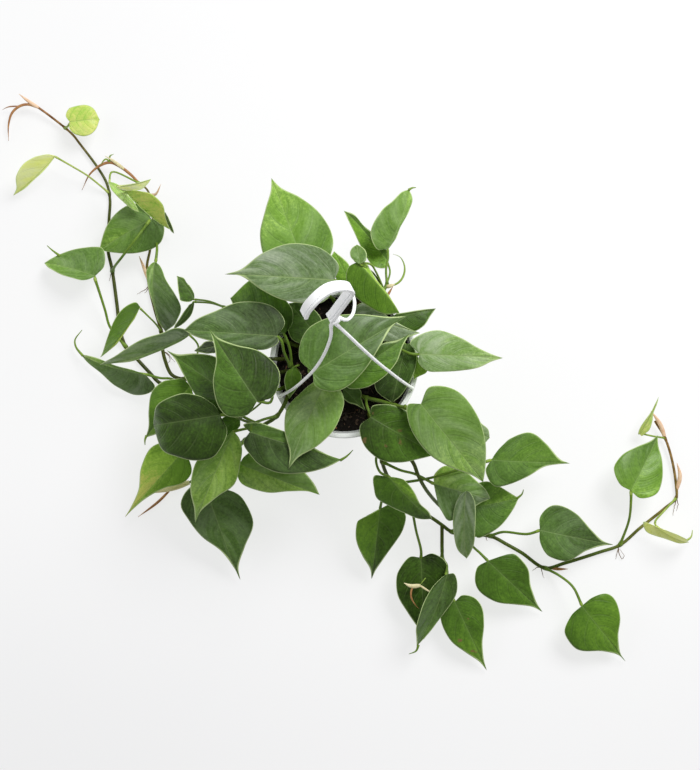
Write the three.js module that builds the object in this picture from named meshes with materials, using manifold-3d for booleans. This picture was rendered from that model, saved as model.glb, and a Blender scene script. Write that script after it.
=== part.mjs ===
// A heartleaf philodendron in a white plastic hanging pot that stands on a flat surface.
// Its long stems climb over the rim and trail along that surface, its short ones stand on the soil,
// and the pot's loose hanger stands over the leaves. Millimetres, +Z up, origin under the pot.
import * as THREE from "three";
import { mergeVertices } from "three/addons/utils/BufferGeometryUtils.js";
import Module from "manifold-3d";

// The pot
const POT_HEIGHT = 120;
const RIM_RADIUS = 75;
const MOUTH_RADIUS = 70;
const LIP_HEIGHT = 6;
const BASE_RADIUS = 53;
const WALL = 1.8;
const FLOOR_THICKNESS = 2.5;
const POT_SIDES = 36;
const SOIL_SIDES = 18;
const DRAIN_RADIUS = 3.5;
const DRAIN_CIRCLE = 36;
const DRAIN_COUNT = 6;
const DRAIN_SIDES = 8;
const EDGE = 0.8;
const GAP = 0.3;

// The soil. Its clods are two crossing waves over the top, in radians a millimetre
const SOIL_EDGE_HEIGHT = 105;
const SOIL_MOUND = 4;
const SOIL_RINGS = [0.85, 0.55, 0.27];
const SOIL_CLOD = 1.2;
const BROAD_WAVE = { x: 0.31, y: 0.27, shiftX: 1.7, shiftY: 0.4 };
const FINE_WAVE = { x: 0.71, y: -0.53, share: 0.6 };
const HOLE_CLEARANCE = 0.6;
const HOLE_DEPTH = 2;

// The hanger
const STRAND_RADIUS = 1.5;
const STRAND_SIDES = 8;
const CLIP_CIRCLE = 73.1;
const CLIP_ANGLES = { strand_left: 206.6, strand_right: 340.3, strand_rear: 93.5 };
const STRAND_STEPS_PER_POINT = 1.5;
const SLOT = { across: 2, along: 4.4, reach: 9 };
const TONGUE = { across: 1.4, along: 3.4, rise: 4, top: 5 };
const BARB = { along: 6.4, drop: 4, point: 2 };
const HUB = { top: 6, bottom: 4.8, height: 8, sides: 16 };
const HUB_CENTRE = [331, 321, 349];
const HOOK = { width: 8, thickness: 3.6, groove: 3.4, depth: 1.2, steps: 22 };
const HOOK_RADIUS = 21.5;
const HOOK_RISE = 38;
const HOOK_SHIFT = 3;
const HOOK_TURN = 207.5;
const HOOK_LEAN = 25;
const HOOK_END = { drop: 6, inward: 0.5 };
const NECK = { x: -6, y: 12, straight: 0.45, steps: 6 };
const BOW_STEPS = 12;

// The plant
const STEM_RADIUS = 2.2;
const STEM_SIDES = 5;
const PETIOLE_RADIUS = 1.15;
const PETIOLE_SIDES = 4;
const SHOOT_SIDES = 3;
const THREAD_RADIUS = 0.9;
const SHOOT_SWELL = { least: 0.35, start: 0.25, span: 0.72 };
const BLADE_THICKNESS = 0.8;
const SEATS = [0.015, 0.12];
const SEAT_DROP = 1;
const WELD = 1e-3;

// Places are read from straight above: column and row of a 700 x 770 view whose eye stands
// EYE_HEIGHT over the surface, with a height in millimetres.
const EYE_HEIGHT = 1600;
const EYE = { x: 5.94, y: -21.25 };
const VIEW_MIDDLE = { column: 350, row: 385 };
const SURFACE_SCALE = 1.0886;

function seen([column, row, height]) {
  const scale = (SURFACE_SCALE * (EYE_HEIGHT - height)) / EYE_HEIGHT;
  return new THREE.Vector3(
    EYE.x + (column - VIEW_MIDDLE.column) * scale,
    EYE.y - (row - VIEW_MIDDLE.row) * scale,
    height,
  );
}

const wasm = await Module();
wasm.setup();

// A closed geometry as a solid, and back
function solidOf(geometry) {
  const bare = geometry.clone();
  bare.deleteAttribute("normal");
  bare.deleteAttribute("uv");
  const merged = mergeVertices(bare, WELD);
  return new wasm.Manifold(
    new wasm.Mesh({
      numProp: 3,
      vertProperties: new Float32Array(merged.attributes.position.array),
      triVerts: new Uint32Array(merged.index.array),
    }),
  );
}

function geometryOf(solid) {
  const mesh = solid.getMesh();
  const geometry = new THREE.BufferGeometry();
  geometry.setAttribute("position", new THREE.BufferAttribute(mesh.vertProperties, 3));
  geometry.setIndex(new THREE.BufferAttribute(mesh.triVerts, 1));
  geometry.computeVertexNormals();
  return geometry;
}

function joined(solids) {
  return solids.reduce((sum, solid) => sum.add(solid));
}

function ringShape(radius, sides) {
  const shape = new THREE.Shape();
  for (let i = 0; i < sides; i++) {
    const angle = (2 * Math.PI * (i + 0.5)) / sides;
    const x = radius * Math.cos(angle);
    const y = radius * Math.sin(angle);
    if (i === 0) shape.moveTo(x, y);
    else shape.lineTo(x, y);
  }
  shape.closePath();
  return shape;
}

const stepsOf = (route) => route.length;
const smooth = (points) => new THREE.CatmullRomCurve3(points, false, "centripetal");

// A round stalk along a smooth route
function stalk(points, radius, sides, steps) {
  const extrudePath = smooth(points);
  return solidOf(
    new THREE.ExtrudeGeometry(ringShape(radius, sides), { steps, bevelEnabled: false, extrudePath }),
  );
}

// A stalk that narrows to both ends, such as a furled leaf or a dry sheath
function spindle(points, radius, sides, steps) {
  const path = smooth(points);
  const frames = path.computeFrenetFrames(steps, false);
  const vertices = [];
  const triangles = [];
  for (let i = 0; i <= steps; i++) {
    const centre = path.getPointAt(i / steps);
    const turn = SHOOT_SWELL.start + (SHOOT_SWELL.span * i) / steps;
    const swell = Math.max(SHOOT_SWELL.least, Math.sin(Math.PI * turn));
    for (let k = 0; k < sides; k++) {
      const angle = (2 * Math.PI * k) / sides;
      vertices.push(
        centre
          .clone()
          .addScaledVector(frames.normals[i], radius * swell * Math.cos(angle))
          .addScaledVector(frames.binormals[i], radius * swell * Math.sin(angle)),
      );
    }
  }
  for (let i = 0; i < steps; i++) {
    for (let k = 0; k < sides; k++) {
      const a = i * sides + k;
      const b = i * sides + ((k + 1) % sides);
      triangles.push([a, b, b + sides], [a, b + sides, a + sides]);
    }
  }
  for (let k = 1; k < sides - 1; k++) {
    const end = steps * sides;
    triangles.push([0, k + 1, k], [end, end + k, end + k + 1]);
  }
  return closedSolid(vertices, triangles);
}

function closedSolid(vertices, triangles) {
  const geometry = new THREE.BufferGeometry();
  geometry.setAttribute(
    "position",
    new THREE.Float32BufferAttribute(vertices.flatMap((v) => [v.x, v.y, v.z]), 3),
  );
  geometry.setIndex(triangles.flat());
  return solidOf(geometry);
}

// A leaf. Its outline is given for each side as [lobe, widths...] in millimetres: lobe is how far
// the outline reaches behind the petiole, and the widths run from the midrib to the edge, the first
// between the lobe and the first station and the others at STATIONS, shares of the length. left is
// the side on the left of a leaf that is seen with its tip down. Each outline point is tied to the
// midrib at the share in ROOTS.
const STATIONS = [0.2, 0.4, 0.62, 0.84];
const ROOTS = [0, 0, 0, 0.11, 0.27, 0.46, 0.74, 1];
const LOBE_SHARE = 0.45;
const RIBS = [0, 0.55, 1];
const SMALL_RIBS = [0, 1];
const SMALL_WIDTH = 66;

// The knots of one side, from the notch round the lobe to the tip: u across, v along the length
function halfOutline(leaf, side, length) {
  const [lobe, shoulder, ...widths] = side > 0 ? leaf.left : leaf.right;
  const back = -lobe / length;
  const knots = [
    { u: 0, v: 0 },
    { u: LOBE_SHARE * widths[0], v: back },
    { u: shoulder, v: (back + STATIONS[0]) / 2 },
    ...widths.map((u, i) => ({ u, v: STATIONS[i] })),
    { u: 0, v: 1 },
  ];
  return knots.map((knot, i) => ({ ...knot, root: ROOTS[i] }));
}

// The widest reach of one side from the midrib
function reachOf(widths) {
  return Math.max(...widths.slice(1));
}

// How a blade leaves the flat, as shares of its length or half width: it arches along its midrib,
// folds up beside it, droops and waves at the edge and curls down at the tip. bow bends the midrib
// sideways, hook turns the tip aside by millimetres, and roll turns the face by degrees. A leaf in
// the list below names only what differs.
const FORM = { arch: 0.05, fold: 0.12, droop: 0.12, wave: 0.05, curl: 0.02, bow: 0, hook: 0, roll: 0 };
const WAVE = { along: 7.5, side: 2.1 };
const TIP_SHARE = 0.28;

// The blade's middle surface in its own axes: x across, y along, z out of its face
function bladePoint(leaf, length, side, edge, reach) {
  const half = Math.max(reachOf(leaf.left), reachOf(leaf.right));
  const across = edge.u * reach;
  const v = edge.root + (edge.v - edge.root) * reach;
  const middle = 4 * v * (1 - v) * length;
  const wave = leaf.wave * Math.sin(WAVE.along * v + WAVE.side * side);
  const tip = Math.max(0, v - (1 - TIP_SHARE)) / TIP_SHARE;
  const aside = leaf.bow * middle + leaf.hook * tip * tip;
  const rise = leaf.arch * middle + leaf.fold * across;
  const fall = ((leaf.droop - wave) * across * across) / half + leaf.curl * tip * tip * length;
  return new THREE.Vector3(side * across + aside, v * length, rise - fall);
}

// The leaf's own axes, its face turned about the midrib by roll
function bladeAxes(leaf, base, tip) {
  const along = tip.clone().sub(base).normalize();
  const level = along.clone().cross(new THREE.Vector3(0, 0, 1)).normalize();
  const up = level.clone().cross(along);
  const roll = THREE.MathUtils.degToRad(leaf.roll);
  const across = level.clone().multiplyScalar(Math.cos(roll)).addScaledVector(up, -Math.sin(roll));
  const face = up.clone().multiplyScalar(Math.cos(roll)).addScaledVector(level, Math.sin(roll));
  return new THREE.Matrix4().makeBasis(across, along, face).setPosition(base);
}

// A place under the midrib, where the petiole runs into the blade's lower face
function underMidrib(leaf, base, tip, v) {
  const length = base.distanceTo(tip);
  const place = bladePoint(leaf, length, 1, { u: 0, v, root: v }, 0);
  place.z -= SEAT_DROP;
  return place.applyMatrix4(bladeAxes(leaf, base, tip));
}

function blade(leaf, base, tip) {
  const length = base.distanceTo(tip);
  const ribs = reachOf(leaf.left) + reachOf(leaf.right) < SMALL_WIDTH ? SMALL_RIBS : RIBS;
  const outlines = { [-1]: halfOutline(leaf, -1, length), 1: halfOutline(leaf, 1, length) };
  const vertices = [];
  const index = new Map();
  const vertex = (side, j, k) => {
    const point = bladePoint(leaf, length, side, outlines[side][j], ribs[k]);
    const key = [point.x, point.y, point.z].map((c) => c.toFixed(4)).join();
    if (!index.has(key)) {
      index.set(key, vertices.length);
      vertices.push(point);
    }
    return index.get(key);
  };
  const triangles = [];
  const push = (a, b, c) => {
    if (a !== b && b !== c && c !== a) triangles.push([a, b, c]);
  };
  for (const side of [-1, 1]) {
    for (let j = 0; j < ROOTS.length - 1; j++) {
      for (let k = 0; k < ribs.length - 1; k++) {
        const near = [vertex(side, j, k), vertex(side, j, k + 1)];
        const far = [vertex(side, j + 1, k + 1), vertex(side, j + 1, k)];
        const corners = [...near, ...far];
        if (side < 0) corners.reverse();
        push(corners[0], corners[1], corners[2]);
        push(corners[0], corners[2], corners[3]);
      }
    }
  }
  return thickened(vertices, triangles, bladeAxes(leaf, base, tip));
}

// A sheet of even thickness over a middle surface, both faces split alike
function thickened(vertices, triangles, axes) {
  const normals = vertices.map(() => new THREE.Vector3());
  const borders = new Map();
  for (const [a, b, c] of triangles) {
    const normal = vertices[b]
      .clone()
      .sub(vertices[a])
      .cross(vertices[c].clone().sub(vertices[a]));
    for (const corner of [a, b, c]) normals[corner].add(normal);
    for (const [from, to] of [[a, b], [b, c], [c, a]]) {
      if (borders.has(to + "," + from)) borders.delete(to + "," + from);
      else borders.set(from + "," + to, [from, to]);
    }
  }
  const count = vertices.length;
  const offset = (distance) =>
    vertices.map((v, i) => v.clone().addScaledVector(normals[i].normalize(), distance));
  const skin = triangles.flatMap(([a, b, c]) => [[a, b, c], [count + c, count + b, count + a]]);
  for (const [from, to] of borders.values()) {
    skin.push([to, from, count + from], [to, count + from, count + to]);
  }
  const sheet = [...offset(BLADE_THICKNESS / 2), ...offset(-BLADE_THICKNESS / 2)];
  return closedSolid(sheet.map((v) => v.applyMatrix4(axes)), skin);
}

// Leafy stems. stem is the route from the soil to the growing tip; each leaf's petiole runs from the
// stem to the leaf's base, where its last point lies, and tip is the leaf's point. thread is the
// curled thread that a leaf's edge or tip is drawn out into.
const VINES = {
  left_long_vine: {
    stem: [
      [289, 371, 86], [287, 371, 110], [278, 373, 125.5], [266, 375, 130], [252, 379, 118],
      [235, 384, 84], [215, 389, 40], [195, 389, 14], [178, 387, 5], [160, 383, 3.2],
      [150, 373, 3], [137, 359, 3], [126, 347, 3], [120, 330, 3], [117, 305, 3], [112, 269, 3],
      [108, 250, 3], [109, 220, 3], [110, 200, 3], [107, 184, 3], [98, 168, 3], [80, 144, 3.4],
      [72, 134, 4], [50, 116, 7], [39, 108, 9],
    ],
    leaves: {
      a1: {
        petiole: [[66, 127, 4.5], [68, 126, 16], [70, 122, 24]],
        tip: [99.5, 119, 19],
        left: [1.5, 13, 15, 17, 16, 10.5],
        right: [3.5, 15, 16, 16.5, 16, 12],
        curl: 0.1,
      },
      a2: {
        petiole: [[110, 193, 3], [88, 176, 14], [75, 168, 22], [55, 156, 25]],
        tip: [13.5, 196, 9],
        left: [-2, 16, 20, 23, 19.5, 6],
        right: [-0.5, 1, 1.5, 1.5, 1.5, 1],
        roll: -40, fold: 0.45,
      },
      a7: {
        petiole: [[113, 271, 3], [115, 266, 18], [122, 257, 36], [135, 240, 44], [151, 219, 34]],
        tip: [99, 250, 14],
        left: [0, 23.5, 25, 24.5, 19, 9],
        right: [8.5, 26, 28, 25, 18, 8.5],
        roll: -6,
      },
      a8: {
        petiole: [
          [126, 347, 3], [110, 327, 10], [105, 310, 16], [98, 288, 25], [95, 279, 29],
          [95, 276, 30],
        ],
        tip: [44, 262.5, 12],
        left: [5.5, 31, 30, 25, 17.5, 8],
        right: [-2.5, 10, 12, 12.5, 10.5, 6.5],
        roll: 25, fold: 0.3,
        thread: [[60, 256, 17], [52, 250, 17], [47, 245.5, 17]],
      },
      a14: {
        petiole: [[184, 387, 6], [172, 379, 22], [160, 378, 32], [146, 375, 34]],
        tip: [80, 355, 10],
        left: [-7.5, 3, 4, 5, 6, 5],
        right: [9.5, 27.5, 32, 24, 14, 7],
        roll: -40,
        thread: [[83, 356, 11], [76, 347, 10], [75, 340, 11], [82, 330, 14]],
      },
    },
    shoots: [
      { route: [[39, 108, 9], [29.5, 102, 12], [19, 94, 14]], radius: 1.9 },
      {
        route: [
          [39, 108, 9], [28, 104.5, 11], [20, 106, 11], [12, 113, 10], [8.5, 125, 7],
          [8.5, 141, 3],
        ],
        radius: 1.5,
      },
      { route: [[20, 106, 11], [8, 107, 8], [2, 110, 5]], radius: 0.8 },
    ],
  },
  left_short_vine: {
    stem: [
      [287, 358, 86], [286, 359, 110], [279, 359, 124], [267, 359, 129], [250, 360, 117],
      [232, 364, 84], [212, 370, 42], [196, 376, 17], [184, 379, 9], [172, 375, 7], [165, 360, 7],
      [162, 345, 6.5], [161, 331, 5.5], [155, 310, 4], [149, 285, 3.2], [147, 266, 3.2],
      [150, 250, 3.2], [153, 222, 3.2], [148, 191, 4], [139, 183, 6],
    ],
    leaves: {
      a3: {
        petiole: [[118, 165.5, 12.5], [112, 172, 32], [109, 182.5, 44]],
        tip: [139.5, 212, 40],
        left: [-3, 4, 5, 6, 6, 4.5],
        right: [-2, 4, 5, 5, 4, 2],
        roll: -25, fold: 0.2,
      },
      a4: {
        petiole: [[139, 183, 6], [124, 182, 46], [117, 185, 66]],
        tip: [151, 179.5, 68],
        left: [-3, 5, 6, 8, 8.5, 5],
        right: [-4.5, 1, 1.5, 1.5, 1.5, 1],
        roll: 50,
      },
      a5: {
        petiole: [[139, 183, 6], [133, 186, 34], [126, 191, 56]],
        tip: [169, 229.5, 48],
        left: [-4.5, 1, 1.5, 1.5, 1.5, 1],
        right: [-4.5, 12, 15.5, 24, 23.5, 10],
        roll: 30, fold: 0.4,
      },
      a6: {
        petiole: [[153, 222, 3], [160, 214, 18], [165, 213, 24]],
        tip: [174, 233.5, 16],
        left: [-2, 2, 2.5, 2.5, 2.5, 2],
        right: [-2, 1, 1.5, 1.5, 1.5, 1],
      },
      a9: {
        petiole: [[150, 255, 3.2], [156, 251, 12], [161, 254, 32], [155, 262, 43]],
        tip: [165, 332, 24],
        left: [-1, 8, 7, 4, 2, 2],
        right: [-3.5, 13, 17, 29, 35, 22.5],
        roll: 25, bow: 0.07, fold: 0.3,
      },
      a10: {
        petiole: [[161, 331, 5.5], [155, 323, 18], [147, 315, 30], [140, 307, 36]],
        tip: [101, 358, 12],
        left: [5, 26, 27, 24, 17.5, 8],
        right: [-8, 1, 1.5, 1.5, 1.5, 1],
        roll: -55, fold: 0.3,
      },
      a11: {
        petiole: [[184, 379, 9], [194, 362, 32], [198, 345, 50], [190, 334, 54]],
        tip: [100, 366, 32],
        left: [0, 21, 21, 23, 18.5, 9.5],
        right: [-2.5, 3, 3, 3.5, 4, 1],
        roll: -50, fold: 0.2,
      },
    },
    shoots: [
      {
        route: [
          [139, 183, 6], [130, 174, 9], [120, 166.5, 12], [111, 162.5, 14], [102, 164.5, 14],
          [90, 174, 10], [82, 190, 4],
        ],
        radius: 1.7,
      },
      { route: [[125, 170, 10.5], [112, 160, 16], [105, 156, 18]], radius: 1.8 },
      { route: [[148, 280, 3.2], [144, 268, 6], [139, 256, 10]], radius: 1.9 },
    ],
  },
  upper_left_vine: {
    stem: [
      [300, 348, 86], [297, 346, 112], [285, 341, 125], [268, 333, 131], [250, 322, 120],
      [235, 312, 100], [224, 307, 86],
    ],
    leaves: {
      a12: {
        petiole: [[224, 307, 86], [208, 301, 66], [194, 299, 60]],
        tip: [177, 275.5, 50],
        left: [-2.5, 3, 4, 4, 4, 4],
        right: [2, 17.5, 16, 13.5, 9.5, 4],
        roll: 48,
      },
      a13: {
        petiole: [[226, 308, 88], [210, 303, 62], [194, 302, 50]],
        tip: [174, 329, 40],
        left: [-2.5, 4, 4, 4.5, 4, 3],
        right: [-3, 3, 4, 6, 5, 3],
        roll: -45,
      },
      b1: {
        petiole: [[235, 312, 100], [232, 330, 84], [216, 346, 76]],
        tip: [194, 351, 66],
        left: [-1.5, 6, 6.5, 7, 4, 2],
        right: [-1, 7, 6.5, 6, 4, 2],
      },
    },
  },
  left_crown: {
    stem: [[299, 372, 86], [298, 371, 112], [294, 368, 128], [290, 366, 138]],
    leaves: {
      b3: {
        petiole: [[290, 366, 137], [284, 352, 150], [281, 340, 158], [277, 336, 158]],
        tip: [183, 330, 112],
        left: [7.5, 29, 32, 31, 21.5, 11.5],
        right: [2, 14, 15, 12, 10, 6],
      },
      d3: {
        petiole: [[291, 366, 134], [290, 350, 140], [286, 338, 142], [284, 334, 140]],
        tip: [230, 298, 124],
        left: [1.5, 24.5, 28, 31, 32, 30],
        right: [-3, 9, 11, 13, 11.5, 6],
      },
      e3: {
        petiole: [[292, 367, 129], [299, 365, 134], [293, 367, 137]],
        tip: [289, 399, 130],
        left: [-2.5, 5, 6, 7, 5.5, 2.5],
        right: [-2, 7.5, 9.5, 10, 7, 3],
      },
    },
  },
  left_edge_crown: {
    stem: [[289, 384, 86], [287, 386, 108], [280, 389, 124], [272, 391, 138]],
    leaves: {
      c2: {
        petiole: [[272, 391, 138], [255, 396, 134], [233, 396, 128]],
        tip: [166, 350, 88],
        left: [-3.5, 17, 21, 23, 15, 3],
        right: [9.5, 25, 25, 19, 10, 2],
      },
      c3: {
        petiole: [[272, 391, 138], [272, 399, 156], [268, 403, 170], [257, 401, 172]],
        tip: [208.5, 328, 140],
        left: [6, 32, 35, 30.5, 14.5, 2.5],
        right: [6, 33, 34, 27, 11, 3],
      },
      c10: {
        petiole: [[274, 390, 135], [255, 408, 126], [240, 418, 116]],
        tip: [216, 434, 100],
        left: [-1, 7, 9, 10, 9, 5.5],
        right: [-2.5, 7, 7.5, 10, 9, 7],
      },
    },
  },
  front_left_vine: {
    stem: [
      [299, 384, 86], [296, 386, 110], [289, 392, 121], [285, 403, 128.5], [277, 416, 128],
      [262, 426, 112], [245, 440, 84], [225, 455, 46], [205, 468, 16], [190, 482, 5],
      [170, 490, 3.5],
    ],
    leaves: {
      c1: {
        petiole: [[262, 426, 112], [235, 412, 112], [208, 392, 104], [190, 386, 98]],
        tip: [145, 438, 60],
        left: [0.5, 18.5, 24, 26, 15.5, 4],
        right: [-3.5, 14.5, 17, 17, 13, 6],
        thread: [[146.5, 435.5, 61.2], [145, 440, 60], [145, 445, 58]],
      },
      c4: {
        petiole: [[262, 426, 112], [245, 421, 134], [230, 415, 152], [220, 415, 154]],
        tip: [149, 426, 104],
        left: [-3.5, 16.5, 22, 27, 25, 17],
        right: [5.5, 34, 41, 41, 35, 26],
        curl: 0.08,
      },
      c5: {
        petiole: [[205, 468, 16], [200, 456, 44], [190, 451, 58], [182, 453, 60]],
        tip: [124, 518, 16],
        left: [1, 25.5, 28, 22, 8, 2],
        right: [0.5, 22, 22.5, 11, 4, 1],
      },
      c6: {
        petiole: [[262, 426, 112], [250, 428, 122], [240, 430, 126], [233, 431, 124]],
        tip: [194.5, 524, 62],
        left: [-8, 6, 8, 22.5, 18.5, 6],
        right: [-4, 16, 19, 23, 11, 1],
      },
      c7: {
        petiole: [[225, 455, 46], [222, 470, 58], [213, 484, 60], [207, 492, 54]],
        tip: [240.5, 581, 10],
        left: [11.5, 31, 28, 21, 6.5, 1],
        right: [-1, 29, 34, 36, 19, 3.5],
      },
      c8: {
        petiole: [[277, 416, 128], [262, 420, 135], [252, 425, 140], [250, 432, 140]],
        tip: [342, 460, 126],
        left: [3, 22.5, 28.5, 30.5, 24.5, 13],
        right: [8.5, 11.5, 11.5, 10, 5, 1],
        thread: [[340, 460.5, 125.5], [347, 456, 126], [353, 450, 127]],
      },
      c9: {
        petiole: [[245, 440, 84], [238, 450, 98], [237, 458, 104], [240, 464, 104]],
        tip: [320, 495, 78],
        left: [0, 18, 19, 17, 8, 1],
        right: [-1, 19, 20, 19, 19, 11],
      },
    },
    shoots: [
      { route: [[170, 490, 3.5], [158, 502, 3], [138, 517, 2]], radius: 1.5 },
      { route: [[190, 484, 6], [172, 488, 8], [152, 493, 7]], radius: 3.4 },
    ],
  },
  rear_crown: {
    stem: [[338, 308, 86], [337, 306, 112], [332, 298, 130], [320, 290, 146], [308, 280, 156]],
    leaves: {
      d1: {
        petiole: [[308, 280, 156], [306, 272, 162], [303, 262, 162]],
        tip: [271, 177, 112],
        left: [12, 34, 36.5, 33, 20, 5],
        right: [-2, 30, 34, 30.5, 17.5, 5],
      },
      d2: {
        petiole: [[320, 290, 146], [336, 290, 170], [338, 282, 182], [334, 280, 184]],
        tip: [224, 274, 150],
        left: [4, 27, 32, 33, 23, 5],
        right: [0.5, 23, 24.5, 23, 14, 1],
      },
      d4: {
        petiole: [[337, 306, 112], [350, 302, 120], [352, 288, 126], [349, 280, 127]],
        tip: [334, 251, 112],
        left: [-3, 4.5, 5.5, 7, 5, 2],
        right: [-0.5, 10, 11, 10.5, 9, 6],
      },
    },
  },
  middle_crown: {
    stem: [[312, 349, 86], [311, 350, 112], [312, 354, 130], [314, 361, 150]],
    leaves: {
      e1: {
        petiole: [[314, 361, 150], [309, 370, 174], [311, 373, 186], [313, 372, 188]],
        tip: [407, 316, 168],
        left: [5, 27, 29, 24, 12.5, 1],
        right: [4.5, 34, 39, 36, 25, 8.5],
      },
      d5: {
        petiole: [[311, 350, 112], [320, 348, 126], [322, 340, 132]],
        tip: [289, 303, 122],
        left: [-2.5, 10, 11.5, 14.5, 14, 10],
        right: [0.5, 14, 18, 22, 18, 10.5],
      },
    },
  },
  front_crown: {
    stem: [[330, 392, 86], [329, 391, 112], [326, 388, 132]],
    leaves: {
      e2: {
        petiole: [[326, 388, 131], [329, 380, 139], [328, 381, 144], [325, 383, 145]],
        tip: [288, 469, 141],
        left: [-0.5, 14, 18, 24.5, 18, 4],
        right: [2.5, 25, 28, 28.5, 20.5, 5.5],
        roll: 12,
      },
      e8: {
        petiole: [[329, 391, 112], [337, 386, 122], [343, 388, 126]],
        tip: [366, 411, 113],
        left: [-3, 5, 7, 6.5, 3, 1],
        right: [-2, 10, 11, 11, 5.5, 2],
      },
    },
  },
  right_crown: {
    stem: [[352, 366, 86], [352, 366, 112], [350, 368, 130], [347, 373, 142]],
    leaves: {
      e4: {
        petiole: [[347, 373, 142], [342, 379, 152], [345, 380, 156]],
        tip: [410, 333.5, 142],
        left: [2, 15.5, 19, 20, 16, 5.5],
        right: [-3, 8.5, 9, 9, 8, 1],
      },
    },
  },
  upper_right_vine: {
    stem: [
      [370, 322, 86], [371, 318, 110], [376, 306, 124], [380, 299, 129.5], [384, 290, 131],
      [387, 284, 128],
    ],
    leaves: {
      d6: {
        petiole: [[384, 290, 131], [376, 272, 150], [370, 264, 162], [358, 262, 164]],
        tip: [400, 313, 142],
        left: [2, 18, 21, 22, 19, 13],
        right: [-1.5, 7.5, 5, 2.5, 2, 1],
        fold: -0.5, droop: 0, roll: -20,
      },
      d11: {
        petiole: [[384, 290, 131], [374, 274, 146], [366, 268, 160], [360, 264, 166]],
        tip: [357, 244.5, 158],
        left: [-1, 6.5, 7, 8, 7, 4],
        right: [-1.5, 5, 5.5, 8, 8, 5.5],
      },
      d7: {
        petiole: [[387, 284, 128], [386, 270, 126], [388, 258, 122], [388, 249, 116]],
        tip: [410, 189, 84],
        left: [-5.5, 2, 3, 3, 5, 6.5],
        right: [7.5, 25, 27, 25, 17, 10],
        roll: 30,
        thread: [[408.5, 190, 85.1], [412, 188, 85], [416, 187.5, 85]],
      },
      d8: {
        petiole: [[386, 286, 129], [390, 272, 116], [388, 262, 106]],
        tip: [344, 210, 76],
        left: [-4, 6, 6.5, 6.5, 4, 4.5],
        right: [4, 16, 16, 13.5, 9, 4.5],
        roll: 20,
      },
    },
    shoots: [
      {
        route: [
          [386, 285, 129], [395, 284.5, 126], [401, 280, 122], [404.5, 272, 117], [404, 264, 113],
          [400, 257, 112], [393, 254, 112],
        ],
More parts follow.
